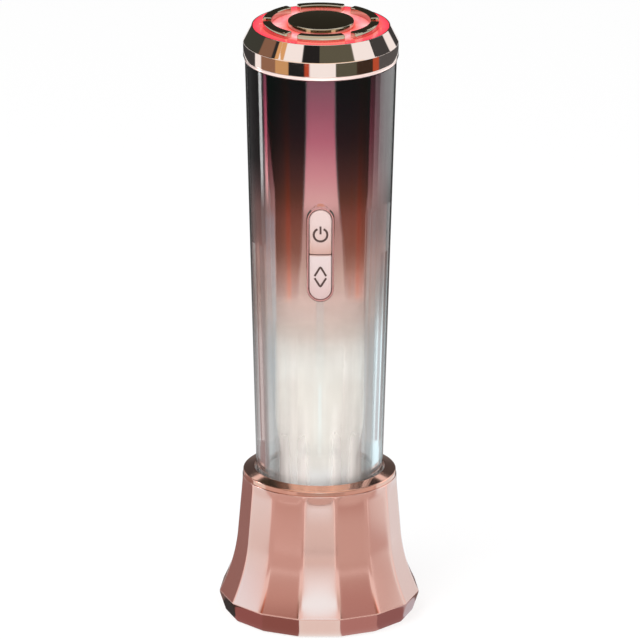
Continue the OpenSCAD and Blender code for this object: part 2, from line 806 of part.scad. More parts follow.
module head_frame() {
    wide_r = window_r - 0.1;
    color("#2b2a2c") difference() {
        union() {
            ring(head_frame_r, 0, core_top, core_top + 2);
            ring(head_frame_r, head_frame_r - 2.6, core_top + 1, collar_z);
            ring(wide_r, led_board_r - 2.4, collar_z, led_board_z);
            ring(wide_r, led_board_r + fit_gap, led_board_z - e, frame_top);
            ring(led_board_r - 1, head_frame_r - 2.6, collar_z - 1, collar_z + 1);
            // Four posts under the middle of the light board
            for (a = [45 : 90 : 315]) rotate(a) translate([9, 0, core_top + 1])
                cylinder(r = 1.6, h = led_board_z - core_top - 1);
        }
        ring(head_frame_r + 1, head_frame_r - 1.1, seal_at - 0.75, seal_at + 0.75);
        translate([0, 0, core_top - 1]) cylinder(r = 4, h = 6);
        for (s = [-1, 1]) translate([0, s * head_screw_y, core_top - 1])
            cylinder(r = screw_shank_r + fit_gap, h = 6);
    }
}

module head_seal() {
    color("#1f1d1d") rotate_extrude() translate([head_frame_r - 0.5, seal_at])
        circle(r = 0.48, $fn = $small_fn);
}

module head_screws() {
    color("#5c5e62") for (s = [-1, 1]) translate([0, s * head_screw_y, core_top + 2])
        screw(screw_head_r, screw_head_h, screw_shank_r - touch_gap, 6.4);
}

module trim_ring() {
    color("#f1ded6") rotate_extrude() union() {
        translate([bore_r(body_top) + 0.3, body_top]) square([trim_r - 0.2 - bore_r(body_top) - 0.3, trim_h]);
        translate([trim_r - 0.5, body_top + 0.2]) square([0.5, trim_h - 0.4]);
        for (z = [body_top + 0.2, collar_z - 0.2])
            translate([trim_r - 0.2, z]) circle(r = 0.2, $fn = $small_fn);
    }
}

// Upright band, rounded knee, slope up to the window, ledge inside
module head_collar() {
    slope = atan2(collar_r - window_r - 0.3, collar_slope_h);
    knee_r = collar_r - collar_knee;
    color("#e7a893") rotate_extrude() difference() {
        union() {
            polygon([[window_r, collar_z], [collar_r, collar_z], [collar_r, knee_z - collar_knee * tan(slope / 2)],
                [knee_r + collar_knee * cos(slope), knee_z - collar_knee * tan(slope / 2) + collar_knee * sin(slope)],
                [window_r + 0.3, collar_top], [window_r, collar_top]]);
            translate([knee_r, knee_z - collar_knee * tan(slope / 2)]) circle(r = collar_knee);
            translate([window_r - ledge_w, window_z - ledge_w + 0.1]) square([ledge_w + 0.5, ledge_w - 0.1]);
        }
        translate([window_r - ledge_w - 1, window_z]) square([ledge_w + 1, window_t + 1]);
    }
}

arc_mid_r = (arc_r_in + arc_r_out) / 2;

module light_window() {
    color("#ff3a4a", 0.7) difference() {
        ring(window_r - touch_gap, 0, window_z, window_top);
        // Seats of the electrodes and the holes of their posts
        translate([0, 0, window_top - 0.5]) cylinder(r = centre_r + touch_gap, h = 2);
        translate([0, 0, window_z - 1]) cylinder(r = 3 + touch_gap, h = 4);
        for (i = [0 : arc_count - 1]) rotate(i * 360 / arc_count - 90) {
            translate([0, 0, window_top - 0.5]) arc_bar(touch_gap, 0, 2);
            translate([arc_mid_r, 0, window_z - 1]) cylinder(r = post_r + touch_gap, h = 4);
        }
    }
}

// Bar along an arc, centred on +X, grown by off on every side
module arc_bar(off, cut, h) {
    rotate(-arc_span / 2) rotate_extrude(angle = arc_span) polygon([
        [arc_r_in - off, 0], [arc_r_out + off, 0], [arc_r_out + off, h - cut],
        [arc_r_out + off - cut, h], [arc_r_in - off + cut, h], [arc_r_in - off, h - cut]]);
}

module arc_electrode(i) {
    seat = window_top - 0.5 + e;
    post_low = led_board_z + board_t + contact_h;
    color("#c9a37f") rotate((i - 1) * 360 / arc_count - 90) union() {
        translate([0, 0, seat]) arc_bar(0, arc_bevel, arc_rise + 0.5 - e);
        translate([arc_mid_r, 0, post_low]) cylinder(r = post_r, h = seat + 0.2 - post_low);
    }
}

// Shallow dome with a short upright edge and a stem
module centre_electrode() {
    seat = window_top - 0.5 + e;
    edge_z = window_top + centre_edge;
    dome_r = (centre_r * centre_r + centre_dome * centre_dome) / (2 * centre_dome);
    post_low = led_board_z + board_t + contact_h;
    color("#2d1f1b") union() {
        intersection() {
            translate([0, 0, seat]) cylinder(r = centre_r, h = edge_z + centre_dome - seat);
            translate([0, 0, edge_z + centre_dome - dome_r]) sphere(r = dome_r, $fn = 200);
        }
        translate([0, 0, post_low]) cylinder(r = 3, h = seat + 0.2 - post_low);
    }
}

module led_board() {
    color("#e8e6e0") difference() {
        ring(led_board_r, 0, led_board_z, led_board_z + board_t);
        for (a = [0, 180]) rotate(a) translate([7, 0, led_board_z - 1]) cylinder(r = 1, h = 4);
    }
}

led_size = 1.6;
led_h = 0.7;

module led_at(r) {
    translate([r - led_size / 2, -led_size / 2, led_board_z + board_t]) cube([led_size, led_size, led_h]);
}

// One light inside each arc and one in each gap between two arcs
module leds() {
    color("#fff2d0") for (i = [0 : arc_count - 1]) {
        rotate(i * 360 / arc_count - 90) led_at((centre_r + arc_r_in) / 2);
        rotate((i + 0.5) * 360 / arc_count - 90) led_at(arc_mid_r);
    }
}

module electrode_contacts() {
    low = led_board_z + board_t;
    color("#c9a35a") union() {
        ring(3.4, 0, low, low + contact_h);
        for (i = [0 : arc_count - 1]) rotate(i * 360 / arc_count - 90) translate([arc_mid_r, 0, 0])
            ring(post_r + 0.2, 0, low, low + contact_h);
    }
}

stand_shell();
stand_rim();
cup_liner();
base_plate();
foot_ring();
ballast_ring();
charging_board();
pin_barrels();
power_socket();
base_screws();
charging_pin(-1);  // charging_pin_left
charging_pin(1);  // charging_pin_right
outer_shell();
gradient_sleeve();
core_front();
core_rear();
core_screws();
bottom_cap();
bottom_seal();
charging_contacts();
battery_cell();
battery_saddles();
main_board();
rf_transformer();
tact_switches();
key_mat();
button_frame();
power_key();
level_key();
head_frame();
head_seal();
head_screws();
trim_ring();
head_collar();
light_window();
led_board();
leds();
electrode_contacts();
centre_electrode();
arc_electrode(1);  // arc_electrode_1
arc_electrode(2);  // arc_electrode_2
arc_electrode(3);  // arc_electrode_3
arc_electrode(4);  // arc_electrode_4
arc_electrode(5);  // arc_electrode_5
arc_electrode(6);  // arc_electrode_6
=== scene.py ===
import json
from math import asin, atan2, cos, pi, radians, sin, sqrt, tan

import bmesh
import bpy
from mathutils import Matrix, Vector


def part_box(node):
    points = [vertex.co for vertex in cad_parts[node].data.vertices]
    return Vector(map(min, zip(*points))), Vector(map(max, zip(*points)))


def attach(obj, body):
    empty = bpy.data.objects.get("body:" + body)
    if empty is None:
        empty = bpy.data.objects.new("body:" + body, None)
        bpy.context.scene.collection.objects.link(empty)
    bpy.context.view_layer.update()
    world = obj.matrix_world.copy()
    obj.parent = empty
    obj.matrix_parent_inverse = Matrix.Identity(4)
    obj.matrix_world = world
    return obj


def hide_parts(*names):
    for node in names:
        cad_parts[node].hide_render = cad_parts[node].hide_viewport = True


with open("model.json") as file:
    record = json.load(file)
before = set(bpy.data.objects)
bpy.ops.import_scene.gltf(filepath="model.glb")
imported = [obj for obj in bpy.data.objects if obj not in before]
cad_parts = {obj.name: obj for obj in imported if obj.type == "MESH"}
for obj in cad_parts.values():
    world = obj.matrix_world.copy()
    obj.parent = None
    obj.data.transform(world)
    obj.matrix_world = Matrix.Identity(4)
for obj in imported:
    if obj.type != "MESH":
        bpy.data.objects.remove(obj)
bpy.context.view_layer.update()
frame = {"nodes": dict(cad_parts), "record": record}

print("frame loaded")


# A new object in the scene
def newThing(name, data):
    thing = bpy.data.objects.new(name, data)
    bpy.context.scene.collection.objects.link(thing)
    return thing


# ---- Camera ----

camera = {
    "azimuth": 0.2,        # degrees, turned to the left of straight ahead
    "elevation": 18.5,     # degrees above the level
    "roll": 0.18,          # degrees
    "distance": 3.5,       # metres
    "aimHeight": 0.0868,   # metres
    "viewWidth": 0.18226,  # metres that the picture is wide, at the aim point
    "sensor": 36.0,
}


def makeCamera(values):
    turn = radians(values["azimuth"])
    rise = radians(values["elevation"])
    look = Vector((sin(turn) * cos(rise), cos(turn) * cos(rise), -sin(rise)))
    lens = bpy.data.cameras.new("productCamera")
    lens.sensor_width = values["sensor"]
    lens.lens = values["sensor"] * values["distance"] / values["viewWidth"]
    lens.clip_end = 20
    thing = newThing("productCamera", lens)
    facing = look.to_track_quat("-Z", "Y").to_matrix().to_4x4()
    tilt = Matrix.Rotation(radians(values["roll"]), 4, "Z")
    place = Vector((0, 0, values["aimHeight"])) - look * values["distance"]
    thing.matrix_world = Matrix.Translation(place) @ facing @ tilt
    bpy.context.scene.camera = thing


makeCamera(camera)
bpy.context.scene.view_settings.view_transform = "Standard"
print("camera set")

# ---- Shader helpers ----


# Links a socket to a socket, or sets a plain value on it
def join(value, socket):
    if isinstance(value, bpy.types.NodeSocket):
        socket.id_data.links.new(value, socket)
    else:
        socket.default_value = value


def newNode(tree, kind, inputs=None, **settings):
    node = tree.nodes.new(kind)
    for key, value in settings.items():
        setattr(node, key, value)
    for label, value in (inputs or {}).items():
        join(value, node.inputs[label])
    return node


def outOf(tree, kind, inputs=None, **settings):
    return newNode(tree, kind, inputs, **settings).outputs[0]


def treeOf(*values):
    return next(value.id_data for value in values if isinstance(value, bpy.types.NodeSocket))


# Makes a function that adds one Math node to the tree of its values
def maths(operation):
    def combine(*values):
        return outOf(treeOf(*values), "ShaderNodeMath", dict(enumerate(values)), operation=operation)
    return combine


add, subtract, multiply, divide = map(maths, ("ADD", "SUBTRACT", "MULTIPLY", "DIVIDE"))
raisedTo, smaller, larger, cosine = map(maths, ("POWER", "MINIMUM", "MAXIMUM", "COSINE"))


def grey(value):
    return (value, value, value)


white = grey(1.0)


# Stops with their places turned into shares of the way from low to high
def sharesOf(stops, low, high):
    return {(place - low) / (high - low): value for place, value in stops.items()}


# Colour ramp with stops as {place: colour}; a plain number stands for a grey
def ramp(factor, stops, mode="LINEAR"):
    node = newNode(factor.id_data, "ShaderNodeValToRGB", {0: factor})
    node.color_ramp.interpolation = mode
    elements = node.color_ramp.elements
    while len(elements) < len(stops):
        elements.new(0.5)
    for element, (place, colour) in zip(elements, stops.items()):
        element.position = place
        element.color = (*(colour if isinstance(colour, tuple) else grey(colour)), 1)
    return node.outputs[0]


def spread(value, low, high, toLow=0.0, toHigh=1.0):
    return outOf(value.id_data, "ShaderNodeMapRange", dict(enumerate((value, low, high, toLow, toHigh))))


def socketOf(sockets, name, kind):
    return next(socket for socket in sockets if socket.name == name and socket.type == kind)


def blendColour(factor, first, second, mode="MIX"):
    node = newNode(treeOf(factor, first, second), "ShaderNodeMix", data_type="RGBA", blend_type=mode)
    join(factor, node.inputs["Factor"])
    for name, value in (("A", first), ("B", second)):
        join(value if isinstance(value, bpy.types.NodeSocket) else (*value, 1), socketOf(node.inputs, name, "RGBA"))
    return socketOf(node.outputs, "Result", "RGBA")


def objectPlace(tree):
    return newNode(tree, "ShaderNodeTexCoord").outputs["Object"]


def axesOf(vector):
    return newNode(vector.id_data, "ShaderNodeSeparateXYZ", {0: vector}).outputs


def heightOf(tree):
    return multiply(axesOf(objectPlace(tree))["Z"], 1000.0)


# How far a surface is seen aslant, from 0 to 1
def facingOf(tree):
    return newNode(tree, "ShaderNodeLayerWeight", {"Blend": 0.5}).outputs["Facing"]


# A node group with its input and output sockets as {label: default, or the socket's kind}
def newGroup(kind, name, inputs, outputs):
    tree = bpy.data.node_groups.new(name, kind)
    kinds = {float: "Float", int: "Int", tuple: "Vector"}
    for way, sockets in (("INPUT", inputs), ("OUTPUT", outputs)):
        for label, value in sockets.items():
            socketKind = kinds.get(type(value), value)
            socket = tree.interface.new_socket(label, in_out=way, socket_type="NodeSocket" + socketKind)
            if socketKind != value:
                socket.default_value = value
    return tree, newNode(tree, "NodeGroupInput").outputs, newNode(tree, "NodeGroupOutput").inputs


def useGroup(tree, group, **values):
    return newNode(tree, "ShaderNodeGroup", values, node_tree=group)


def noise(vector, scale, detail=3.0, rough=0.5):
    return outOf(vector.id_data, "ShaderNodeTexNoise",
        {"Vector": vector, "Scale": scale, "Detail": detail, "Roughness": rough})


# Fine grain of a moulded or plated skin: a roughness value and a height
def makeSkinGroup():
    tree, given, result = newGroup("ShaderNodeTree", "fineSkin",
        {"GrainScale": 3000.0, "Roughness": 0.3, "Variation": 0.05}, {"Rough": "Float", "Height": "Float"})
    place = objectPlace(tree)
    grain = noise(place, given["GrainScale"], 2.0)
    cloud = noise(place, 60.0)
    uneven = subtract(add(grain, cloud), 1.0)
    rough = add(given["Roughness"], multiply(uneven, given["Variation"]))
    join(larger(rough, 0.01), result["Rough"])
    join(grain, result["Height"])
    return tree


# Slow wipe marks left by handling: a value round 1 that scales a colour
def makeHandlingGroup():
    tree, given, result = newGroup("ShaderNodeTree", "handlingMarks",
        {"Amount": 0.04, "Stretch": 6.0}, {"Factor": "Float"})
    sizes = outOf(tree, "ShaderNodeCombineXYZ", {"X": 1.0, "Y": 1.0, "Z": divide(1.0, given["Stretch"])})
    spot = outOf(tree, "ShaderNodeMapping", {"Vector": objectPlace(tree), "Scale": sizes})
    centred = subtract(noise(spot, 90.0, 4.0, 0.6), 0.5)
    join(add(multiply(centred, given["Amount"]), 1.0), result["Factor"])
    return tree


# Painted highlight: a lighter line along outward edges, where plating catches the light
def makeEdgeHighlightGroup():
    tree, given, result = newGroup("ShaderNodeTree", "edgeHighlight", {"Sharpness": 18.0}, {"Mask": "Float"})
    pointiness = newNode(tree, "ShaderNodeNewGeometry").outputs["Pointiness"]
    mask = multiply(subtract(pointiness, 0.5), given["Sharpness"])
    join(larger(smaller(mask, 1.0), 0.0), result["Mask"])
    return tree


skinGroup = makeSkinGroup()
handlingGroup = makeHandlingGroup()
edgeHighlightGroup = makeEdgeHighlightGroup()


# An emptied node tree and the surface socket of its output
def clearTree(data, outputKind="ShaderNodeOutputMaterial"):
    data.use_nodes = True
    tree = data.node_tree
    tree.nodes.clear()
    return tree, newNode(tree, outputKind).inputs["Surface"]


# A material with one Principled shader, whose numbers are set on its own sockets
def newFinish(name, **numbers):
    material = bpy.data.materials.new(name)
    tree, surface = clearTree(material)
    shader = newNode(tree, "ShaderNodeBsdfPrincipled",
        {label.replace("_", " "): value for label, value in numbers.items()})
    join(shader.outputs[0], surface)
    return material, tree, shader


grainDepth = 0.00002    # metres


def addSkin(tree, shader, grainScale, roughness, variation, bump=0.0):
    skin = useGroup(tree, skinGroup, GrainScale=grainScale, Roughness=roughness, Variation=variation)
    join(skin.outputs["Rough"], shader.inputs["Roughness"])
    if bump > 0:
        join(outOf(tree, "ShaderNodeBump", {"Strength": bump, "Distance": grainDepth,
            "Height": skin.outputs["Height"]}), shader.inputs["Normal"])


def addColour(tree, shader, colour, marks, stretch=6.0):
    factor = useGroup(tree, handlingGroup, Amount=marks, Stretch=stretch).outputs["Factor"]
    shade = outOf(tree, "ShaderNodeCombineColor", {label: factor for label in ("Red", "Green", "Blue")})
    join(blendColour(1.0, colour, shade, "MULTIPLY"), shader.inputs["Base Color"])


# ---- Finishes ----

plating = {
    "standColour": (0.8, 0.47, 0.4),
    # The second stand colour below is the painted highlight along outward edges
    "standEdgeHighlight": (0.93, 0.72, 0.66),
    "standRoughness": 0.14,
    "standGrain": 5200.0,
    "highlightSharpness": 9.0,
    "grain": 2600.0,         # grain scale of the polished metal, the coat and the print
}
# Polished metal by slot: the material's name, colour, roughness and, for the trim, how metallic it is
polished = {
    "rim_copper": ("rimCopper", (0.82, 0.46, 0.36), 0.1),
    "cap_copper": ("capCopper", (0.8, 0.48, 0.4), 0.14),
    "collar_chrome": ("collarChrome", (0.9, 0.76, 0.7), 0.03),
    "electrode_gold": ("electrodeMirror", (0.5, 0.44, 0.34), 0.07),
    "pale_trim": ("paleTrim", (0.9, 0.7, 0.66), 0.16, 0.4),
}


def makeStandFinish():
    material, tree, shader = newFinish("standCopper", Metallic=1.0)
    addSkin(tree, shader, plating["standGrain"], plating["standRoughness"], 0.05, 0.06)
    # Painted highlight: the plating turns lighter along outward edges
    edgeShine = useGroup(tree, edgeHighlightGroup, Sharpness=plating["highlightSharpness"]).outputs["Mask"]
    addColour(tree, shader, blendColour(edgeShine, plating["standColour"], plating["standEdgeHighlight"]), 0.05)
    return material


# One colour with a fine skin
def makePlain(name, colour, roughness, metallic, grainScale, bump, marks, variation=0.06, **numbers):
    material, tree, shader = newFinish(name, Metallic=metallic, **numbers)
    addSkin(tree, shader, grainScale, roughness, variation, bump)
    addColour(tree, shader, colour, marks)
    return material


def makePolished(name, colour, roughness, metallic=1.0):
    return makePlain(name, colour, roughness, metallic, plating["grain"], 0.0, 0.03, roughness * 0.4)


# Mirror coat on the sleeve: its colour, strength and clearness follow the height in millimetres
sleeveCoat = {
    "low": 40.0,
    "high": 165.0,
    "colours": {75: (0.8, 0.62, 0.52), 92: (0.76, 0.57, 0.5), 100: (0.68, 0.46, 0.4),
        112: (0.6, 0.34, 0.3), 128: (0.56, 0.27, 0.26), 136: (0.49, 0.175, 0.195),
        146: (0.35, 0.072, 0.112), 156: (0.22, 0.038, 0.071), 163: (0.15, 0.034, 0.058)},
    # Painted shade: share of the colour left where the wall is seen aslant, and how much of that shows at each height
    "slant": {0.0: 1.0, 0.09: 1.0, 0.15: 0.4, 0.2: 0.17, 0.25: 0.07, 0.4: 0.03},
    "slanting": {90: 0.3, 105: 0.5, 120: 0.75, 140: 1.0},
    # Painted shade: the clear stretch turns grey towards the sides
    "sideShadeCover": {0.0: 0.0, 0.14: 0.0, 0.162: 0.28, 0.176: 0.3, 0.19: 0.26, 0.24: 0.24, 0.265: 0.16,
        0.29: 0.03},
    # Painted light: a pale veil beside the foot of the core, by height and by slant
    "veil": {46: 0.7, 54: 0.55, 62: 0.25, 70: 0.0},
    "paintedVeilSlant": {0.0: 0.0, 0.075: 0.0, 0.105: 1.0, 0.145: 1.0, 0.17: 0.3, 0.2: 0.0},
    "cover": {76: 0.0, 82: 0.09, 88: 0.3, 94: 0.62, 100: 0.9, 107: 1.0},
    "metal": {80: 0.3, 100: 0.75, 116: 0.95, 130: 1.0},
    "roughness": 0.05,
    # Painted reflection: upright streaks in the clear stretch, which fade out between two heights
    "streakScale": 330.0,
    "streakSquash": 0.015,
    "streakSpread": (0.38, 0.62, 0.74, 1.2),
    "streakTint": (1.0, 0.95, 0.91),
    "streakFade": (78, 88),
}


def heightRamp(height, stops):
    low, high = sleeveCoat["low"], sleeveCoat["high"]
    mode = "LINEAR" if isinstance(next(iter(stops.values())), tuple) else "EASE"
    return ramp(spread(height, low, high), sharesOf(stops, low, high), mode)


def makeSleeveFinish():
    material, tree, shader = newFinish("gradedMirror")
    height = heightOf(tree)
    facing = facingOf(tree)
    # Painted reflection streaks, stretched upright
    tall = outOf(tree, "ShaderNodeMapping",
        {"Vector": objectPlace(tree), "Scale": (1.0, 1.0, sleeveCoat["streakSquash"])})
    paintedStreaks = spread(noise(tall, sleeveCoat["streakScale"], 1.0), *sleeveCoat["streakSpread"])
    paintedStreakColour = outOf(tree, "ShaderNodeCombineColor",
        {label: multiply(paintedStreaks, share) for label, share in zip(("Red", "Green", "Blue"), sleeveCoat["streakTint"])})
    clear = spread(height, *sleeveCoat["streakFade"], 1.0, 0.0)
    colour = blendColour(clear, heightRamp(height, sleeveCoat["colours"]), paintedStreakColour)
    # Painted shade that darkens the coat where the wall is seen aslant
    shade = blendColour(heightRamp(height, sleeveCoat["slanting"]), white, ramp(facing, sleeveCoat["slant"]))
    addColour(tree, shader, blendColour(1.0, colour, shade, "MULTIPLY"), 0.05, 12.0)
    addSkin(tree, shader, plating["grain"], sleeveCoat["roughness"], 0.02)
    # Painted light: a pale veil beside the foot of the core
    veil = multiply(heightRamp(height, sleeveCoat["veil"]), ramp(facing, sleeveCoat["paintedVeilSlant"]))
    # Painted shade at the sides and the painted pale veil, as cover of the coat
    aslant = larger(ramp(facing, sleeveCoat["sideShadeCover"]), veil)
    # Both are left out for the light that reaches the core behind them
    rays = newNode(tree, "ShaderNodeLightPath").outputs
    lighting = larger(rays["Is Shadow Ray"], smaller(rays["Diffuse Depth"], 1.0))
    aslant = multiply(aslant, subtract(1.0, lighting))
    join(larger(heightRamp(height, sleeveCoat["cover"]), aslant), shader.inputs["Alpha"])
    join(heightRamp(height, sleeveCoat["metal"]), shader.inputs["Metallic"])
    return material


# Clear acrylic of the tube, with painted shade that darkens it where it is seen aslant
acrylic = {"ior": 1.49, "aslant": {0.0: 0.985, 0.68: 0.985, 0.8: 0.45, 1.0: 0.1}, "grain": 900.0, "roughness": 0.012}


def makeGlassFinish():
    material, tree, shader = newFinish("clearAcrylic", IOR=acrylic["ior"], Transmission_Weight=1.0, Metallic=0.0)
    # Painted shade by how aslant the glass is seen
    addColour(tree, shader, ramp(facingOf(tree), acrylic["aslant"]), 0.01)
    addSkin(tree, shader, acrylic["grain"], acrylic["roughness"], 0.008)
    return material


# Moulded plastics and small inner parts: colour, roughness, metallic, grain, bump, marks
mouldings = {
    "frame_rose": ((0.44, 0.205, 0.19), 0.25, 0.2, 4200.0, 0.05, 0.05),
    "pale_rubber": ((0.7, 0.66, 0.64), 0.6, 0.0, 3000.0, 0.3, 0.1),
    "dark_rubber": ((0.035, 0.034, 0.034), 0.65, 0.0, 2600.0, 0.4, 0.2),
    "dark_plastic": ((0.055, 0.045, 0.042), 0.42, 0.0, 2800.0, 0.3, 0.15),
    "liner_pale": ((0.78, 0.72, 0.7), 0.28, 0.0, 2800.0, 0.1, 0.06),
    "plain_steel": ((0.55, 0.56, 0.58), 0.28, 1.0, 4200.0, 0.1, 0.1),
    "contact_brass": ((0.85, 0.64, 0.33), 0.18, 1.0, 3600.0, 0.05, 0.08),
    "board_green": ((0.035, 0.16, 0.075), 0.35, 0.0, 1800.0, 0.2, 0.25),
    "board_white": ((0.8, 0.79, 0.76), 0.4, 0.0, 1800.0, 0.2, 0.08),
    "cell_wrap": ((0.06, 0.16, 0.42), 0.25, 0.0, 1200.0, 0.1, 0.15),
}
# Painted light from above: each key pales towards its top; height in millimetres
keyLightFromAbove = {
    "colour": (0.46, 0.345, 0.325),
    "paintedLightByHeight": {99: (0.84, 0.79, 0.8), 102.3: (0.9, 0.86, 0.87), 107: (0.96, 0.99, 1.01),
        112.5: (0.98, 1.05, 1.08), 112.8: (0.78, 0.6, 0.53), 114.5: (0.84, 0.69, 0.63),
        117.5: (0.92, 0.86, 0.83), 122: (0.98, 0.99, 0.99), 126: white},
}
# Painted light: the core is made a little paler at its foot, against the shade that the rim casts there
coreFootLight = {
    "colour": (0.8, 0.77, 0.705),
    "paintedLightByHeight": {42: (1.25, 1.29, 1.38), 44: (1.24, 1.28, 1.36), 47: (1.12, 1.13, 1.15), 54: white},
}


# A finish whose colour is multiplied by painted light that follows the height
def makeHeightLit(name, tint, grainScale):
    material, tree, shader = newFinish(name, Metallic=0.0)
    addSkin(tree, shader, grainScale, 0.22, 0.06, 0.05)
    shade = heightRamp(heightOf(tree), tint["paintedLightByHeight"])
    addColour(tree, shader, blendColour(1.0, tint["colour"], shade, "MULTIPLY"), 0.03)
    return material


# Light behind the window: its colour follows the radius, with a paler spot over each light
windowGlow = {
    "strength": 1.0,
    "rings": {9.4: (0.95, 0.1, 0.07), 10.2: (0.95, 0.22, 0.2), 11.6: (0.93, 0.33, 0.36),
        13.4: (0.93, 0.26, 0.28), 14.4: (0.95, 0.1, 0.09), 16.6: (0.95, 0.12, 0.1),
        17.6: (0.92, 0.1, 0.12), 19.3: (0.75, 0.03, 0.06)},
    "spotColour": (1.0, 0.62, 0.6),
    "spots": 6,
    "spotRadius": 13.0,
    "spotReach": 3.6,
    "plastic": (0.55, 0.03, 0.05),
}


def makeWindowFinish():
    material, tree, shader = newFinish("litWindow", IOR=acrylic["ior"], Emission_Strength=windowGlow["strength"],
        Coat_Weight=0.3, Coat_Roughness=0.05)
    place = objectPlace(tree)
    axes = axesOf(place)
    radius = multiply(maths("SQRT")(add(raisedTo(axes["X"], 2.0), raisedTo(axes["Y"], 2.0))), 1000.0)
    rings = windowGlow["rings"]
    low, high = min(rings), max(rings)
    base = ramp(spread(radius, low, high), sharesOf(rings, low, high))
    wave = cosine(multiply(maths("ARCTAN2")(axes["X"], axes["Y"]), float(windowGlow["spots"])))
    between = raisedTo(multiply(subtract(1.0, wave), 0.5), 3.0)
    fromSpot = maths("ABSOLUTE")(subtract(radius, windowGlow["spotRadius"]))
    near = subtract(1.0, smaller(1.0, divide(fromSpot, windowGlow["spotReach"])))
    mask = multiply(multiply(between, near), add(0.45, noise(place, 420.0, 2.0)))
    join(blendColour(mask, base, windowGlow["spotColour"]), shader.inputs["Emission Color"])
    addColour(tree, shader, windowGlow["plastic"], 0.05)
    addSkin(tree, shader, 1500.0, 0.08, 0.03)
    return material


finishes = {name: makePlain(name, *values) for name, values in mouldings.items()}
finishes["stand_copper"] = makeStandFinish()
for slotName, values in polished.items():
    finishes[slotName] = makePolished(*values)
finishes["graded_mirror"] = makeSleeveFinish()
finishes["clear_shell"] = makeGlassFinish()
finishes["lit_window"] = makeWindowFinish()
finishes["led_lens"] = makePlain("ledLens", (0.95, 0.85, 0.60), 0.15, 0.0, 1500.0, 0.0, 0.05, 0.03,
    Emission_Strength=1.5, Emission_Color=(1.0, 0.25, 0.22, 1))
finishes["keyPrint"] = makePlain("keyPrint", (0.045, 0.018, 0.014), 0.45, 0.0, plating["grain"], 0.1, 0.2, 0.08)
finishes["key_pink"] = makeHeightLit("keyPink", keyLightFromAbove, 4200.0)
finishes["cream_core"] = makeHeightLit("creamCore", coreFootLight, 1500.0)
print("finishes made:", len(finishes))

# ---- Shape helpers; shapes are drawn in millimetres and become metres in finishMesh ----

metre = 0.001


def boxOf(node):
    low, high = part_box(node)
    return low / metre, high / metre


def smoothen(piece, degrees=35):
    piece.data.shade_smooth()
    piece.data.set_sharp_from_angle(angle=radians(degrees))


def moved(bm, place):
    bmesh.ops.translate(bm, vec=Vector(place), verts=bm.verts)


def scaled(bm, sizes):
    bmesh.ops.scale(bm, vec=Vector(sizes), verts=bm.verts)


def finishMesh(name, bm, smoothAngle=35, toMetres=True):
    bmesh.ops.remove_doubles(bm, verts=bm.verts, dist=0.0005)
    bmesh.ops.recalc_face_normals(bm, faces=bm.faces)
    if bm.calc_volume(signed=True) < 0:
        bmesh.ops.reverse_faces(bm, faces=bm.faces)
    if toMetres:
        scaled(bm, (metre, metre, metre))
    mesh = bpy.data.meshes.new(name)
    bm.to_mesh(mesh)
    bm.free()
    piece = newThing(name, mesh)
    smoothen(piece, smoothAngle)
    return piece


def seat(piece, body, slotName, *nodes):
    piece.data.materials.clear()
    piece.data.materials.append(finishes[slotName])
    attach(piece, body)
    if nodes:
        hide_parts(*nodes)
    return piece


# Even steps from low to high, both included
def evenly(low, high, count):
    return [low + (high - low) * k / count for k in range(count + 1)]


# Outline through corners (across, up, rounding), with an arc at each rounded corner. A point close to each
# end of an arc keeps the shading of the flat stretches even.
def rounded(corners, steps=5):
    points = []
    margin = 0.04
    for i, (across, up, rounding) in enumerate(corners):
        here = Vector((across, up))
        if rounding == 0:
            points.append(here)
            continue
        before = (Vector(corners[i - 1][:2]) - here).normalized()
        after = (Vector(corners[(i + 1) % len(corners)][:2]) - here).normalized()
        half = before.angle(after) / 2
        centre = here + (before + after).normalized() * rounding / sin(half)
        reach = rounding / tan(half)
        first, last = here + before * reach - centre, here + after * reach - centre
        start = atan2(first.y, first.x)
        sweep = (atan2(last.y, last.x) - start + pi) % (2 * pi) - pi
        points.append(here + before * (reach + margin))
        points += [centre + Vector((cos(a), sin(a))) * rounding for a in evenly(start, start + sweep, steps)]
        points.append(here + after * (reach + margin))
    return points


def addRevolved(bm, profile, around):
    rings = []
    for r, z in profile:
        if r < 1e-4:
            rings.append([bm.verts.new((0, 0, z))])
            continue
        turns = [2 * pi * k / around for k in range(around)]
        rings.append([bm.verts.new((r * sin(a), -r * cos(a), z)) for a in turns])
    for low, high in zip(rings, rings[1:] + rings[:1]):
        if len(low) == 1 and len(high) == 1:
            continue
        for k in range(around):
            n = (k + 1) % around
            corners = [low[k % len(low)], low[n % len(low)], high[n % len(high)], high[k % len(high)]]
            bm.faces.new(list(dict.fromkeys(corners)))


def revolve(name, profile, around, smoothAngle=35):
    bm = bmesh.new()
    addRevolved(bm, profile, around)
    return finishMesh(name, bm, smoothAngle)


# Loops with the same number of points become one closed solid
def addLofted(bm, loops, caps=True):
    rows = [[bm.verts.new(point) for point in loop] for loop in loops]
    count = len(rows[0])
    for low, high in zip(rows, rows[1:]):
        for k in range(count):
            bm.faces.new((low[k], low[(k + 1) % count], high[(k + 1) % count], high[k]))
    if caps:
        bm.faces.new(rows[0])
        bm.faces.new(rows[-1])
    return rows


def loft(name, loops, smoothAngle=35, caps=True):
    bm = bmesh.new()
    addLofted(bm, loops, caps)
    return finishMesh(name, bm, smoothAngle)


def applyModifiers(piece):
    graph = bpy.context.evaluated_depsgraph_get()
    graph.update()
    mesh = bpy.data.meshes.new_from_object(piece.evaluated_get(graph))
    piece.modifiers.clear()
    old = piece.data
    piece.data = mesh
    bpy.data.meshes.remove(old)


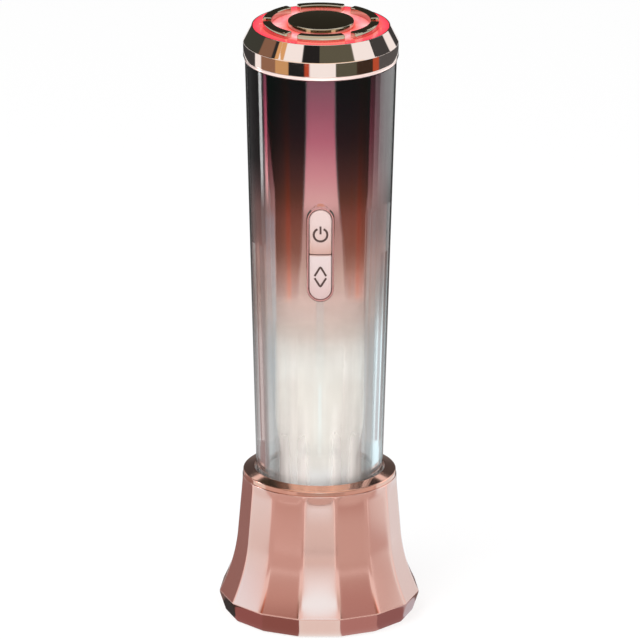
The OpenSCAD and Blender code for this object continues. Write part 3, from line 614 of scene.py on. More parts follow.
# Seats a merged copy of a CAD node with soft shading and, where asked, broken edges
def seatRefined(body, slotName, node, edge=0.0):
    bm = bmesh.new()
    bm.from_mesh(frame["nodes"][node].data)
    bmesh.ops.remove_doubles(bm, verts=bm.verts, dist=0.000002)
    scaled(bm, (1000, 1000, 1000))
    first, *others = node.split("_")
    piece = finishMesh(first + "".join(word.title() for word in others), bm, 30)
    if edge > 0:
        bevel = piece.modifiers.new("brokenEdges", "BEVEL")
        bevel.width = edge * metre
        bevel.segments = 2
        bevel.limit_method = "ANGLE"
        bevel.angle_limit = radians(40)
        applyModifiers(piece)
        smoothen(piece, 30)
    seat(piece, body, slotName, node)


def cutOut(piece, cutter):
    tool = piece.modifiers.new("opening", "BOOLEAN")
    tool.operation = "DIFFERENCE"
    tool.solver = "EXACT"
    tool.object = cutter
    applyModifiers(piece)
    bpy.data.objects.remove(cutter)
    smoothen(piece)


# ---- Geometry Nodes helpers ----


# The tree's last two nodes: real geometry, then its finish
def endTree(tree, given, result, geometry):
    real = outOf(tree, "GeometryNodeRealizeInstances", {0: geometry})
    join(outOf(tree, "GeometryNodeSetMaterial", {"Geometry": real, "Material": given["Finish"]}), result[0])
    return tree


def runTree(piece, tree, values):
    modifier = piece.modifiers.new(tree.name, "NODES")
    modifier.node_group = tree
    for item in tree.interface.items_tree:
        if item.in_out == "INPUT" and item.name in values:
            modifier[item.identifier] = values[item.name]
    applyModifiers(piece)
    bm = bmesh.new()
    bm.from_mesh(piece.data)
    name = piece.name
    bpy.data.objects.remove(piece)
    return finishMesh(name, bm)


# Repeats a mesh round the axis, the first one where it stands
def makeRingTree():
    tree, given, result = newGroup("GeometryNodeTree", "ringOfPieces",
        {"Geometry": "Geometry", "Count": 6, "Turn": 0.0, "Finish": "Material"}, {"Geometry": "Geometry"})
    index = outOf(tree, "GeometryNodeInputIndex")
    angle = add(multiply(index, divide(2 * pi, given["Count"])), given["Turn"])
    place = outOf(tree, "GeometryNodeInstanceOnPoints", {
        "Points": outOf(tree, "GeometryNodePoints", {"Count": given["Count"]}),
        "Instance": given["Geometry"],
        "Rotation": outOf(tree, "ShaderNodeCombineXYZ", {"Z": angle})})
    return endTree(tree, given, result, place)


ringTree = makeRingTree()


def ringOf(piece, count, finish):
    return runTree(piece, ringTree, {"Count": count, "Finish": finishes[finish]})


# Turns an outline into a shell with flat sides whose corners are softened and which fade into a round neck
def makeFacetTree():
    tree, given, result = newGroup("GeometryNodeTree", "facetedLathe", {"Geometry": "Geometry", "Facets": 15,
        "Steps": 12, "Softness": 0.4, "Crowding": 2.2, "Fade From": 36.0, "Fade Height": 5.0,
        "Slot Size": (9.8, 8.0, 4.1), "Slot Place": (0, 25, 9.5), "Finish": "Material"}, {"Geometry": "Geometry"})
    floor, facets, steps = maths("FLOOR"), given["Facets"], given["Steps"]
    rows = newNode(tree, "GeometryNodeAttributeDomainSize", {0: given["Geometry"]}).outputs["Point Count"]
    columns = add(multiply(facets, steps), 1.0)
    grid = outOf(tree, "GeometryNodeMeshGrid", {"Vertices X": columns, "Vertices Y": rows})
    index = outOf(tree, "GeometryNodeInputIndex")
    column = floor(divide(add(index, 0.5), rows))
    row = subtract(index, multiply(column, rows))
    sample = newNode(tree, "GeometryNodeSampleIndex", {"Geometry": given["Geometry"], "Index": row},
        data_type="FLOAT_VECTOR", domain="POINT")
    join(outOf(tree, "GeometryNodeInputPosition"), socketOf(sample.inputs, "Value", "VECTOR"))
    outline = axesOf(socketOf(sample.outputs, "Value", "VECTOR"))
    radius, height = outline["X"], outline["Z"]
    # Place within one flat side, from -1 to 1, with the points crowded towards its corners
    facet = floor(divide(add(column, 0.01), steps))
    within = divide(subtract(column, multiply(facet, steps)), steps)
    share = subtract(multiply(within, 2.0), 1.0)
    crowded = subtract(1.0, raisedTo(subtract(1.0, maths("ABSOLUTE")(share)), given["Crowding"]))
    halfAngle = divide(pi, facets)
    aside = multiply(crowded, halfAngle)
    angle = add(multiply(facet, multiply(halfAngle, 2.0)), multiply(aside, maths("SIGN")(share)))
    # Radius on this flat side and on the next, joined by a soft minimum
    flat = multiply(radius, cosine(halfAngle))
    here = divide(flat, cosine(aside))
    beyond = divide(flat, cosine(subtract(multiply(halfAngle, 2.0), aside)))
    faceted = maths("SMOOTH_MIN")(here, beyond, given["Softness"])
    rise = divide(subtract(height, given["Fade From"]), given["Fade Height"])
    roundShare = raisedTo(larger(smaller(rise, 1.0), 0.0), 1.5)
    final = add(faceted, multiply(roundShare, subtract(radius, faceted)))
    place = outOf(tree, "ShaderNodeCombineXYZ", {"X": multiply(final, maths("SINE")(angle)),
        "Y": multiply(final, multiply(cosine(angle), -1.0)), "Z": height})
    bent = outOf(tree, "GeometryNodeSetPosition", {"Geometry": grid, "Position": place})
    shell = outOf(tree, "GeometryNodeMergeByDistance", {"Geometry": bent, "Distance": 0.001})
    slot = outOf(tree, "GeometryNodeMeshCube", {"Size": given["Slot Size"]})
    slot = outOf(tree, "GeometryNodeTransform", {"Geometry": slot, "Translation": given["Slot Place"]})
    hole = outOf(tree, "GeometryNodeMeshBoolean", {"Mesh 1": shell, "Mesh 2": slot}, operation="DIFFERENCE")
    return endTree(tree, given, result, hole)


print("helpers ready")

# ---- Stand ----

stand = {
    "facets": 15,
    "footRadius": 27.0,      # corner radius at the lower edge
    "ringRadius": 28.7,      # corner radius at the widest ring
    "ringLow": 5.6,          # the widest ring is an upright band between these two heights
    "ringHigh": 6.2,
    "neckRadius": 22.05,
    "flareOut": 3.7,
    "flareHeight": 18.0,
    "fadeHeight": 2.6,
    "wall": 2.2,
    "softness": 0.45,        # rounding of the upright edges
    "ringRounding": 0.10,    # rounding above and below the ring
    "socketClearance": 0.4,
    "socketReach": 14.0,
}
shellLow, shellHigh = boxOf("stand_shell")
rimLow, rimHigh = boxOf("stand_rim")


def softMin(a, b, reach):
    h = max(reach - abs(a - b), 0) / reach
    return min(a, b) - h * h * reach / 4


def standRadius(z):
    share = (z - shellLow.z) / (stand["ringLow"] - shellLow.z)
    under = stand["footRadius"] + (stand["ringRadius"] - stand["footRadius"]) * share
    fall = (shellHigh.z - z) / (shellHigh.z - stand["ringHigh"])
    curl = max(0, stand["ringHigh"] + stand["flareHeight"] - z) / stand["flareHeight"]
    neck = stand["neckRadius"]
    flare = neck + (stand["ringRadius"] - stand["flareOut"] - neck) * fall + stand["flareOut"] * curl ** 2
    rounding = stand["ringRounding"]
    return softMin(softMin(under, stand["ringRadius"], rounding), flare, rounding)


def standOutline():
    near, lip = 1.1, 0.25
    low, top = stand["ringLow"] - near, stand["ringHigh"] + near
    heights = evenly(shellLow.z, low, 4)[:-1] + evenly(low, top, 30)
    heights += [top + (shellHigh.z - top) * share ** 1.15 for share in evenly(0, 1, 40)[1:]]
    outer = [(standRadius(z), z) for z in heights]
    edge = outer[-1][0]
    outer[-1] = (edge, shellHigh.z - lip)
    outer += [(edge - lip * (1 - cos(a)), shellHigh.z - lip + lip * sin(a)) for a in (0.4, 0.8, 1.2, pi / 2)]
    inner = [(standRadius(z) - stand["wall"], z) for z in heights[::-3]]
    inner[0] = (inner[0][0], shellHigh.z)
    inner[-1] = (standRadius(shellLow.z) - stand["wall"], shellLow.z)
    return outer + inner + [outer[0]]


def makeStandShell():
    outline = standOutline()
    mesh = bpy.data.meshes.new("standOutline")
    mesh.from_pydata([(r, 0, z) for r, z in outline], [(k, k + 1) for k in range(len(outline) - 1)], [])
    low, high = boxOf("power_socket")
    middle = (low + high) / 2
    room = 2 * stand["socketClearance"]
    return runTree(newThing("standShell", mesh), makeFacetTree(), {
        "Facets": stand["facets"],
        "Steps": 12,
        "Softness": stand["softness"],
        "Fade From": shellHigh.z - stand["fadeHeight"],
        "Fade Height": stand["fadeHeight"],
        "Slot Size": (high.x - low.x + room, stand["socketReach"], high.z - low.z + room),
        "Slot Place": (middle.x, high.y, middle.z),
        "Finish": finishes["stand_copper"],
    })


seat(makeStandShell(), "stand", "stand_copper", "stand_shell")

rim = {"openingRadius": 18.61, "bandHigh": 42.4, "knee": 0.4, "lip": 0.22, "seatRadius": 20.44, "seatHigh": 41.9}


def makeRim():
    outer = rimHigh.x
    profile = rounded([
        (outer, rimLow.z, 0.12), (outer, rim["bandHigh"], rim["knee"]),
        (rim["openingRadius"], rimHigh.z, rim["lip"]), (rim["openingRadius"], rim["seatHigh"], 0),
        (rim["seatRadius"], rim["seatHigh"], 0), (rim["seatRadius"], rimLow.z, 0)], 6)
    return revolve("standRim", profile, 240)


seat(makeRim(), "stand", "rim_copper", "stand_rim")
seatRefined("stand", "liner_pale", "cup_liner")
seatRefined("stand", "dark_plastic", "base_plate", 0.15)
seatRefined("stand", "dark_rubber", "foot_ring")
seatRefined("stand", "plain_steel", "power_socket", 0.08)

screw = {"headRadius": 1.7, "headHeight": 0.9, "shankRadius": 0.9, "crossLength": 2.0, "crossWidth": 0.42,
    "crossDepth": 0.5, "count": 3}


# Pan-head screw seen from below, with a cross recess
def makeBaseScrews():
    low, high = boxOf("base_screws")
    radius, shank, top = screw["headRadius"], screw["shankRadius"], low.z + screw["headHeight"]
    piece = revolve("baseScrews", rounded([(0, low.z, 0), (radius, low.z, 0.35), (radius, top, 0.05),
        (shank, top, 0), (shank, high.z, 0.3), (0, high.z, 0)], 4), 32)
    cross = (screw["crossLength"], screw["crossWidth"])
    for length, width in (cross, cross[::-1]):
        bm = bmesh.new()
        bmesh.ops.create_cube(bm, size=1)
        scaled(bm, (length, width, 2 * screw["crossDepth"]))
        moved(bm, (0, 0, low.z))
        cutOut(piece, finishMesh("cross", bm))
    away = high.y - radius
    piece.data.transform(Matrix.Scale(1000, 4) @ Matrix.Translation((0, away * metre, 0)))
    return ringOf(piece, screw["count"], "plain_steel")


seat(makeBaseScrews(), "stand", "plain_steel", "base_screws")
print("stand built")

# ---- Body of the device ----

capLow, capHigh = boxOf("bottom_cap")
glassLow, glassHigh = boxOf("outer_shell")
keyFrameLow, keyFrameHigh = boxOf("button_frame")
keyMiddle = (keyFrameLow.z + keyFrameHigh.z) / 2
body = {
    "wall": 3.0,
    "outerRound": 0.25,
    "innerRound": 0.15,
    "sleeveWall": 0.4,
    "coatDepth": 0.02,     # the coat lies against the glass, so nothing shows between them
    "openingGap": 0.02,
}


def bodyRadius(z):
    return capHigh.x + (glassHigh.x - capHigh.x) * (z - capLow.z) / (glassHigh.z - capLow.z)


# Upright pill outline in the XZ plane, seen from the front
def pillOutline(width, length):
    half, straight = width / 2, (length - width) / 2
    return [(side * half * cos(a), side * (straight + half * sin(a)))
        for side in (1, -1) for a in evenly(0, pi, 24)]


def keyOpening():
    gap = 2 * body["openingGap"]
    outline = pillOutline(keyFrameHigh.x - keyFrameLow.x + gap, keyFrameHigh.z - keyFrameLow.z + gap)
    return loft("pillCutter", [[(x, y, keyMiddle + z) for x, z in outline] for y in (-30, -8)])


def makeGlassTube():
    wall, outer, inner = body["wall"], body["outerRound"], body["innerRound"]
    low, high = glassLow.z, glassHigh.z
    profile = rounded([(bodyRadius(low), low, outer), (bodyRadius(high), high, outer),
        (bodyRadius(high) - wall, high, inner), (bodyRadius(low) - wall, low, inner)], 4)
    piece = revolve("outerShell", profile, 256)
    cutOut(piece, keyOpening())
    piece.visible_shadow = False
    return piece


def makeSleeve():
    low, high = boxOf("gradient_sleeve")
    outside = body["wall"] - body["coatDepth"]
    inside = outside + body["sleeveWall"]
    heights = evenly(low.z, high.z, 12)
    profile = [(bodyRadius(z) - outside, z) for z in heights] + [(bodyRadius(z) - inside, z) for z in heights[::-1]]
    piece = revolve("gradientSleeve", profile, 256)
    cutOut(piece, keyOpening())
    return piece


seat(makeGlassTube(), "device", "clear_shell", "outer_shell")
seat(makeSleeve(), "device", "graded_mirror", "gradient_sleeve")
seatRefined("device", "cream_core", "core_front")
seatRefined("device", "cream_core", "core_rear")
seatRefined("device", "cap_copper", "bottom_cap")
print("body built")

# ---- Keys ----

keys = {
    "gap": 0.22,           # round the keys and between them
    "edge": 0.42,          # rounding along the edge of a key
    "crown": 0.10,         # how far the middle of a key's face stands below the tube's surface
    "cornerRound": 0.35,
    "depth": 3.4,
    "frameSink": 0.2,
    "frameWall": 0.4,
    "frameBead": 0.14,
    "printWidth": 0.60,
    "printRaise": 0.02,
}


def frontOf(x, z, inset):
    r = bodyRadius(z) - inset
    return -sqrt(max(r * r - x * x, 0))


# Half pill: round at one end, straight at the other, with every loop at the same count of points
def keyLoop(width, endZ, cutZ, side, inset):
    half = width / 2 - inset
    centre = endZ - side * width / 2
    flat = cutZ + side * inset
    corner = max(keys["cornerRound"] - inset, 0.02)
    foot = flat + side * corner
    upright = evenly(centre, foot, 12)[1:-1]
    bend = [(half - corner * (1 - cos(a)), flat + side * corner * (1 - sin(a))) for a in evenly(0, pi / 2, 4)]
    points = [(half * cos(a), centre + side * half * sin(a)) for a in evenly(0, pi, 28)]
    points += [(-half, z) for z in upright] + [(-x, z) for x, z in bend]
    points += [(x, flat) for x in evenly(corner - half, half - corner, 8)[1:-1]]
    return points + bend[::-1] + [(half, z) for z in upright[::-1]]


def makeKey(name, side):
    around = 2 * (keys["frameWall"] + keys["gap"])
    width = keyFrameHigh.x - keyFrameLow.x - around
    endZ = keyMiddle + side * (keyFrameHigh.z - keyFrameLow.z - around) / 2
    cutZ = keyMiddle + side * keys["gap"] / 2
    edge, crown = keys["edge"], keys["crown"]
    # Each loop by how deep it lies and how far in: the side, the rounded edge, then the face
    rows = [(keys["depth"], 0), (edge + 0.6, 0)]
    rows += [(edge * (1 - sin(a)) + crown * 0.3, edge * (1 - cos(a))) for a in evenly(0, pi / 2, 7)]
    rows += [(crown * (0.3 + 0.7 * sin(pi / 2 * share) ** 2), edge + (width / 2 - edge - 0.05) * share)
        for share in evenly(0, 1, 6)[1:]]
    return loft(name, [[(x, frontOf(x, z, drop), z) for x, z in keyLoop(width, endZ, cutZ, side, inset)]
        for drop, inset in rows], 50)


def makeKeyFrame():
    low, high = boxOf("button_frame")
    wall, sink, bead = keys["frameWall"], keys["frameSink"], keys["frameBead"]
    slight = bead * 0.3
    loops = []
    for inset, drop in ((wall, None), (0, None), (0, sink + bead), (slight, sink + slight), (bead, sink),
            (wall - bead, sink), (wall - slight, sink + slight), (wall, sink + bead), (wall, None)):
        outline = pillOutline(high.x - low.x - 2 * inset, high.z - low.z - 2 * inset)
        loops.append([(x, high.y if drop is None else frontOf(x, keyMiddle + z, drop), keyMiddle + z)
            for x, z in outline])
    return loft("buttonFrame", loops, 50, False)


# Printed line: a thin raised strip that follows the key's face
def addStroke(bm, points, width):
    loops = []
    raised, sunk = keys["crown"] * 0.3 - keys["printRaise"], keys["crown"] + 0.1
    for k, (across, up) in enumerate(points):
        along = Vector(points[min(k + 1, len(points) - 1)]) - Vector(points[max(k - 1, 0)])
        along = along.normalized() * width / 2
        corners = [(across + s * -along.y, up + s * along.x, d)
            for s, d in ((-1, sunk), (1, sunk), (1, raised), (-1, raised))]
        loops.append([(x, frontOf(x, z, drop), z) for x, z, drop in corners])
    addLofted(bm, loops)


power = {"middleZ": 118.85, "radius": 1.93, "gap": 27.0, "barTop": 2.55, "barLow": 0.2}
chevrons = {"tips": [(109.35, 106.5), (103.15, 105.85)], "halfWidth": 1.63}


def makePowerMark():
    bm = bmesh.new()
    gap = radians(power["gap"])
    middle, radius = power["middleZ"], power["radius"]
    addStroke(bm, [(radius * sin(a), middle + radius * cos(a)) for a in evenly(gap, 2 * pi - gap, 48)],
        keys["printWidth"])
    addStroke(bm, [(0, middle + z) for z in evenly(power["barLow"], power["barTop"], 6)], keys["printWidth"] * 0.9)
    return finishMesh("powerMark", bm)


def makeChevrons():
    bm = bmesh.new()
    for tip, foot in chevrons["tips"]:
        addStroke(bm, [(share * chevrons["halfWidth"], tip + (foot - tip) * sqrt(share * share + 0.006))
            for share in evenly(-1, 1, 16)], keys["printWidth"] * 0.92)
    return finishMesh("levelMarks", bm)


seat(makeKey("powerKey", 1), "power_button", "key_pink", "power_key")
seat(makeKey("levelKey", -1), "level_button", "key_pink", "level_key")
seat(makeKeyFrame(), "device", "frame_rose", "button_frame")


def seatPrint(piece, bodyName):
    piece.data.materials.append(finishes["keyPrint"])
    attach(piece, bodyName)


seatPrint(makePowerMark(), "power_button")
seatPrint(makeChevrons(), "level_button")
print("keys built")

# ---- Head ----

collarLow, collarHigh = boxOf("head_collar")
windowLow, windowHigh = boxOf("light_window")
trimLow, trimHigh = boxOf("trim_ring")
head = {"kneeZ": 170.1, "kneeRound": 0.45, "lip": 0.3, "ledge": 1.3, "bandEdge": 0.2, "domeRise": 0.6,
    "domeEdge": 0.3, "electrodeSink": 0.49, "windowGap": 0.05, "ledgeDepth": 1.2, "trimWidth": 2.7, "trimRound": 0.25}


def makeCollar():
    outer = collarHigh.x
    inner = windowHigh.x + head["windowGap"]
    ledge, under = inner - head["ledge"], windowLow.z - head["ledgeDepth"]
    profile = rounded([
        (inner, collarLow.z, 0), (outer, collarLow.z, head["bandEdge"]), (outer, head["kneeZ"], head["kneeRound"]),
        (inner + head["lip"], collarHigh.z, 0.12), (inner, collarHigh.z, 0.05), (inner, windowLow.z, 0),
        (ledge, windowLow.z, 0), (ledge, under, 0), (inner, under, 0)], 6)
    return revolve("headCollar", profile, 256)


def makeTrim():
    inner, outer, bend = glassHigh.x - head["trimWidth"], trimHigh.x, head["trimRound"]
    profile = rounded([(inner, trimLow.z, 0), (outer, trimLow.z, bend), (outer, trimHigh.z, bend),
        (inner, trimHigh.z, 0)], 6)
    return revolve("trimRing", profile, 256)


def makeCentreElectrode():
    low, high = boxOf("centre_electrode")
    r, rise, edge = high.x, head["domeRise"], head["domeEdge"]
    edgeZ = high.z - rise
    seatZ = windowHigh.z - head["electrodeSink"]
    domeRadius = (r * r + rise * rise) / (2 * rise)
    dome = [(domeRadius * sin(a), high.z - domeRadius * (1 - cos(a)))
        for a in evenly(0, asin((r - edge) / domeRadius), 16)]
    side = [(r - edge * 0.3, edgeZ - edge * 0.22), (r, edgeZ - edge), (r, seatZ), (3.0, seatZ), (3.0, low.z),
        (0, low.z)]
    return revolve("centreElectrode", dome + side, 200, 50)


arcs = {"count": 6, "innerRadius": 14.0, "outerRadius": 16.6, "span": 49.0, "bevel": 0.5}


def makeArcElectrodes():
    low, high = boxOf("arc_electrode_1")
    seatZ = windowHigh.z - head["electrodeSink"]
    inner, outer, half = arcs["innerRadius"], arcs["outerRadius"], radians(arcs["span"]) / 2
    bm = bmesh.new()
    rows = addLofted(bm, [[(sin(a) * r, -cos(a) * r, z) for r, z in (
        (inner, seatZ), (outer, seatZ), (outer, high.z), (inner, high.z))] for a in evenly(-half, half, 28)])
    bmesh.ops.recalc_face_normals(bm, faces=bm.faces)
    ends = {v for row in (rows[0], rows[-1]) for v in row}

    # The top outline and the upright corners are rounded, the lines between steps aren't
    def isEdge(edge):
        one, other = edge.verts
        atEnd = one in ends and other in ends
        if min(one.co.z, other.co.z) > high.z - 0.01:
            return atEnd or abs(one.co.xy.length - other.co.xy.length) <= 0.5
        return atEnd and abs(one.co.z - other.co.z) > 0.3

    bmesh.ops.bevel(bm, geom=[e for e in bm.edges if isEdge(e)], offset=arcs["bevel"], segments=3, profile=0.6,
        affect="EDGES")
    post = bmesh.new()
    addRevolved(post, [(0, low.z), (1.1, low.z), (1.1, seatZ + 0.2), (0, seatZ + 0.2)], 24)
    moved(post, (0, -(inner + outer) / 2, 0))
    mesh = bpy.data.meshes.new("post")
    post.to_mesh(mesh)
    post.free()
    bm.from_mesh(mesh)
    return ringOf(finishMesh("arcElectrodes", bm, toMetres=False), arcs["count"], "electrode_gold")


seat(makeCollar(), "device", "collar_chrome", "head_collar")
seat(makeTrim(), "device", "pale_trim", "trim_ring")
seatRefined("device", "lit_window", "light_window")
seat(makeCentreElectrode(), "device", "electrode_gold", "centre_electrode")
seat(makeArcElectrodes(), "device", "electrode_gold", *["arc_electrode_%d" % (k + 1) for k in range(arcs["count"])])
print("head built")

# ---- CAD pieces that are shown as they are ----

for part in frame["record"]["subparts"]:
    thing = frame["nodes"][part["node"]]
    thing.data.materials.clear()
    thing.data.materials.append(finishes[part["material_slot"]])

# ---- Floor, world, lamps and reflector cards ----

studio = {
    "floorColour": 0.93,
    "floorGlow": 0.72,
    "worldDiffuse": 0.88,
    "lamps": {"keyLamp": (4.6, 0.5, (-0.35, -0.5, 0.75)), "lowLamp": (5.2, 0.6, (0.25, -0.85, 0.18))},
    "lampAim": (0, 0, 0.08),
    "cardDistance": 150.0,
}


# A surface that shows one shader or, by the mask, another
def mixInto(tree, surface, mask, first, second):
    join(outOf(tree, "ShaderNodeMixShader", {"Fac": mask, 1: first, 2: second}), surface)


# 1 for a ray that comes straight from the camera, a mirror or glass
def straightRays(tree):
    rays = newNode(tree, "ShaderNodeLightPath").outputs
    return larger(larger(rays["Is Camera Ray"], rays["Is Glossy Ray"]), rays["Is Transmission Ray"])


def makeFloor():
    bm = bmesh.new()
    bmesh.ops.create_circle(bm, cap_ends=True, radius=6.0, segments=96)
    mesh = bpy.data.meshes.new("floor")
    bm.to_mesh(mesh)
    bm.free()
    material = bpy.data.materials.new("paleFloor")
    tree, surface = clearTree(material)
    matt = outOf(tree, "ShaderNodeBsdfDiffuse", {"Color": (*grey(studio["floorColour"]), 1)})
    bright = outOf(tree, "ShaderNodeEmission", {"Color": (*white, 1)})
    mixInto(tree, surface, multiply(straightRays(tree), studio["floorGlow"]), matt, bright)
    mesh.materials.append(material)
    floor = newThing("floor", mesh)


# White for whatever looks straight at it, softer for matt surfaces, nothing for direct light samples,
# which would pass through the cards
def makeWorld():
    world = bpy.data.worlds.new("studioWorld")
    bpy.context.scene.world = world
    tree, surface = clearTree(world, "ShaderNodeOutputWorld")
    rays = newNode(tree, "ShaderNodeLightPath").outputs
    matt = maths("GREATER_THAN")(larger(rays["Diffuse Depth"], rays["Is Diffuse Ray"]), 0.5)
    clear = multiply(subtract(1.0, matt), straightRays(tree))
    strength = add(multiply(matt, studio["worldDiffuse"]), clear)
    join(outOf(tree, "ShaderNodeBackground", {"Color": (*white, 1), "Strength": strength}), surface)


def hide(thing, *rays):
    for ray in rays:
        setattr(thing, "visible_" + ray, False)


# Soft lamps for the matt pieces; mirrors and glass don't show them
def makeLamp(name, watts, size, place):
    lamp = bpy.data.lights.new(name, "AREA")
    lamp.energy = watts
    lamp.size = size
    place = Vector(place)
    aim = Vector(studio["lampAim"]) - place
    thing = newThing(name, lamp)
    thing.matrix_world = Matrix.Translation(place) @ aim.to_track_quat("-Z", "Y").to_matrix().to_4x4()
    hide(thing, "glossy", "transmission", "camera")


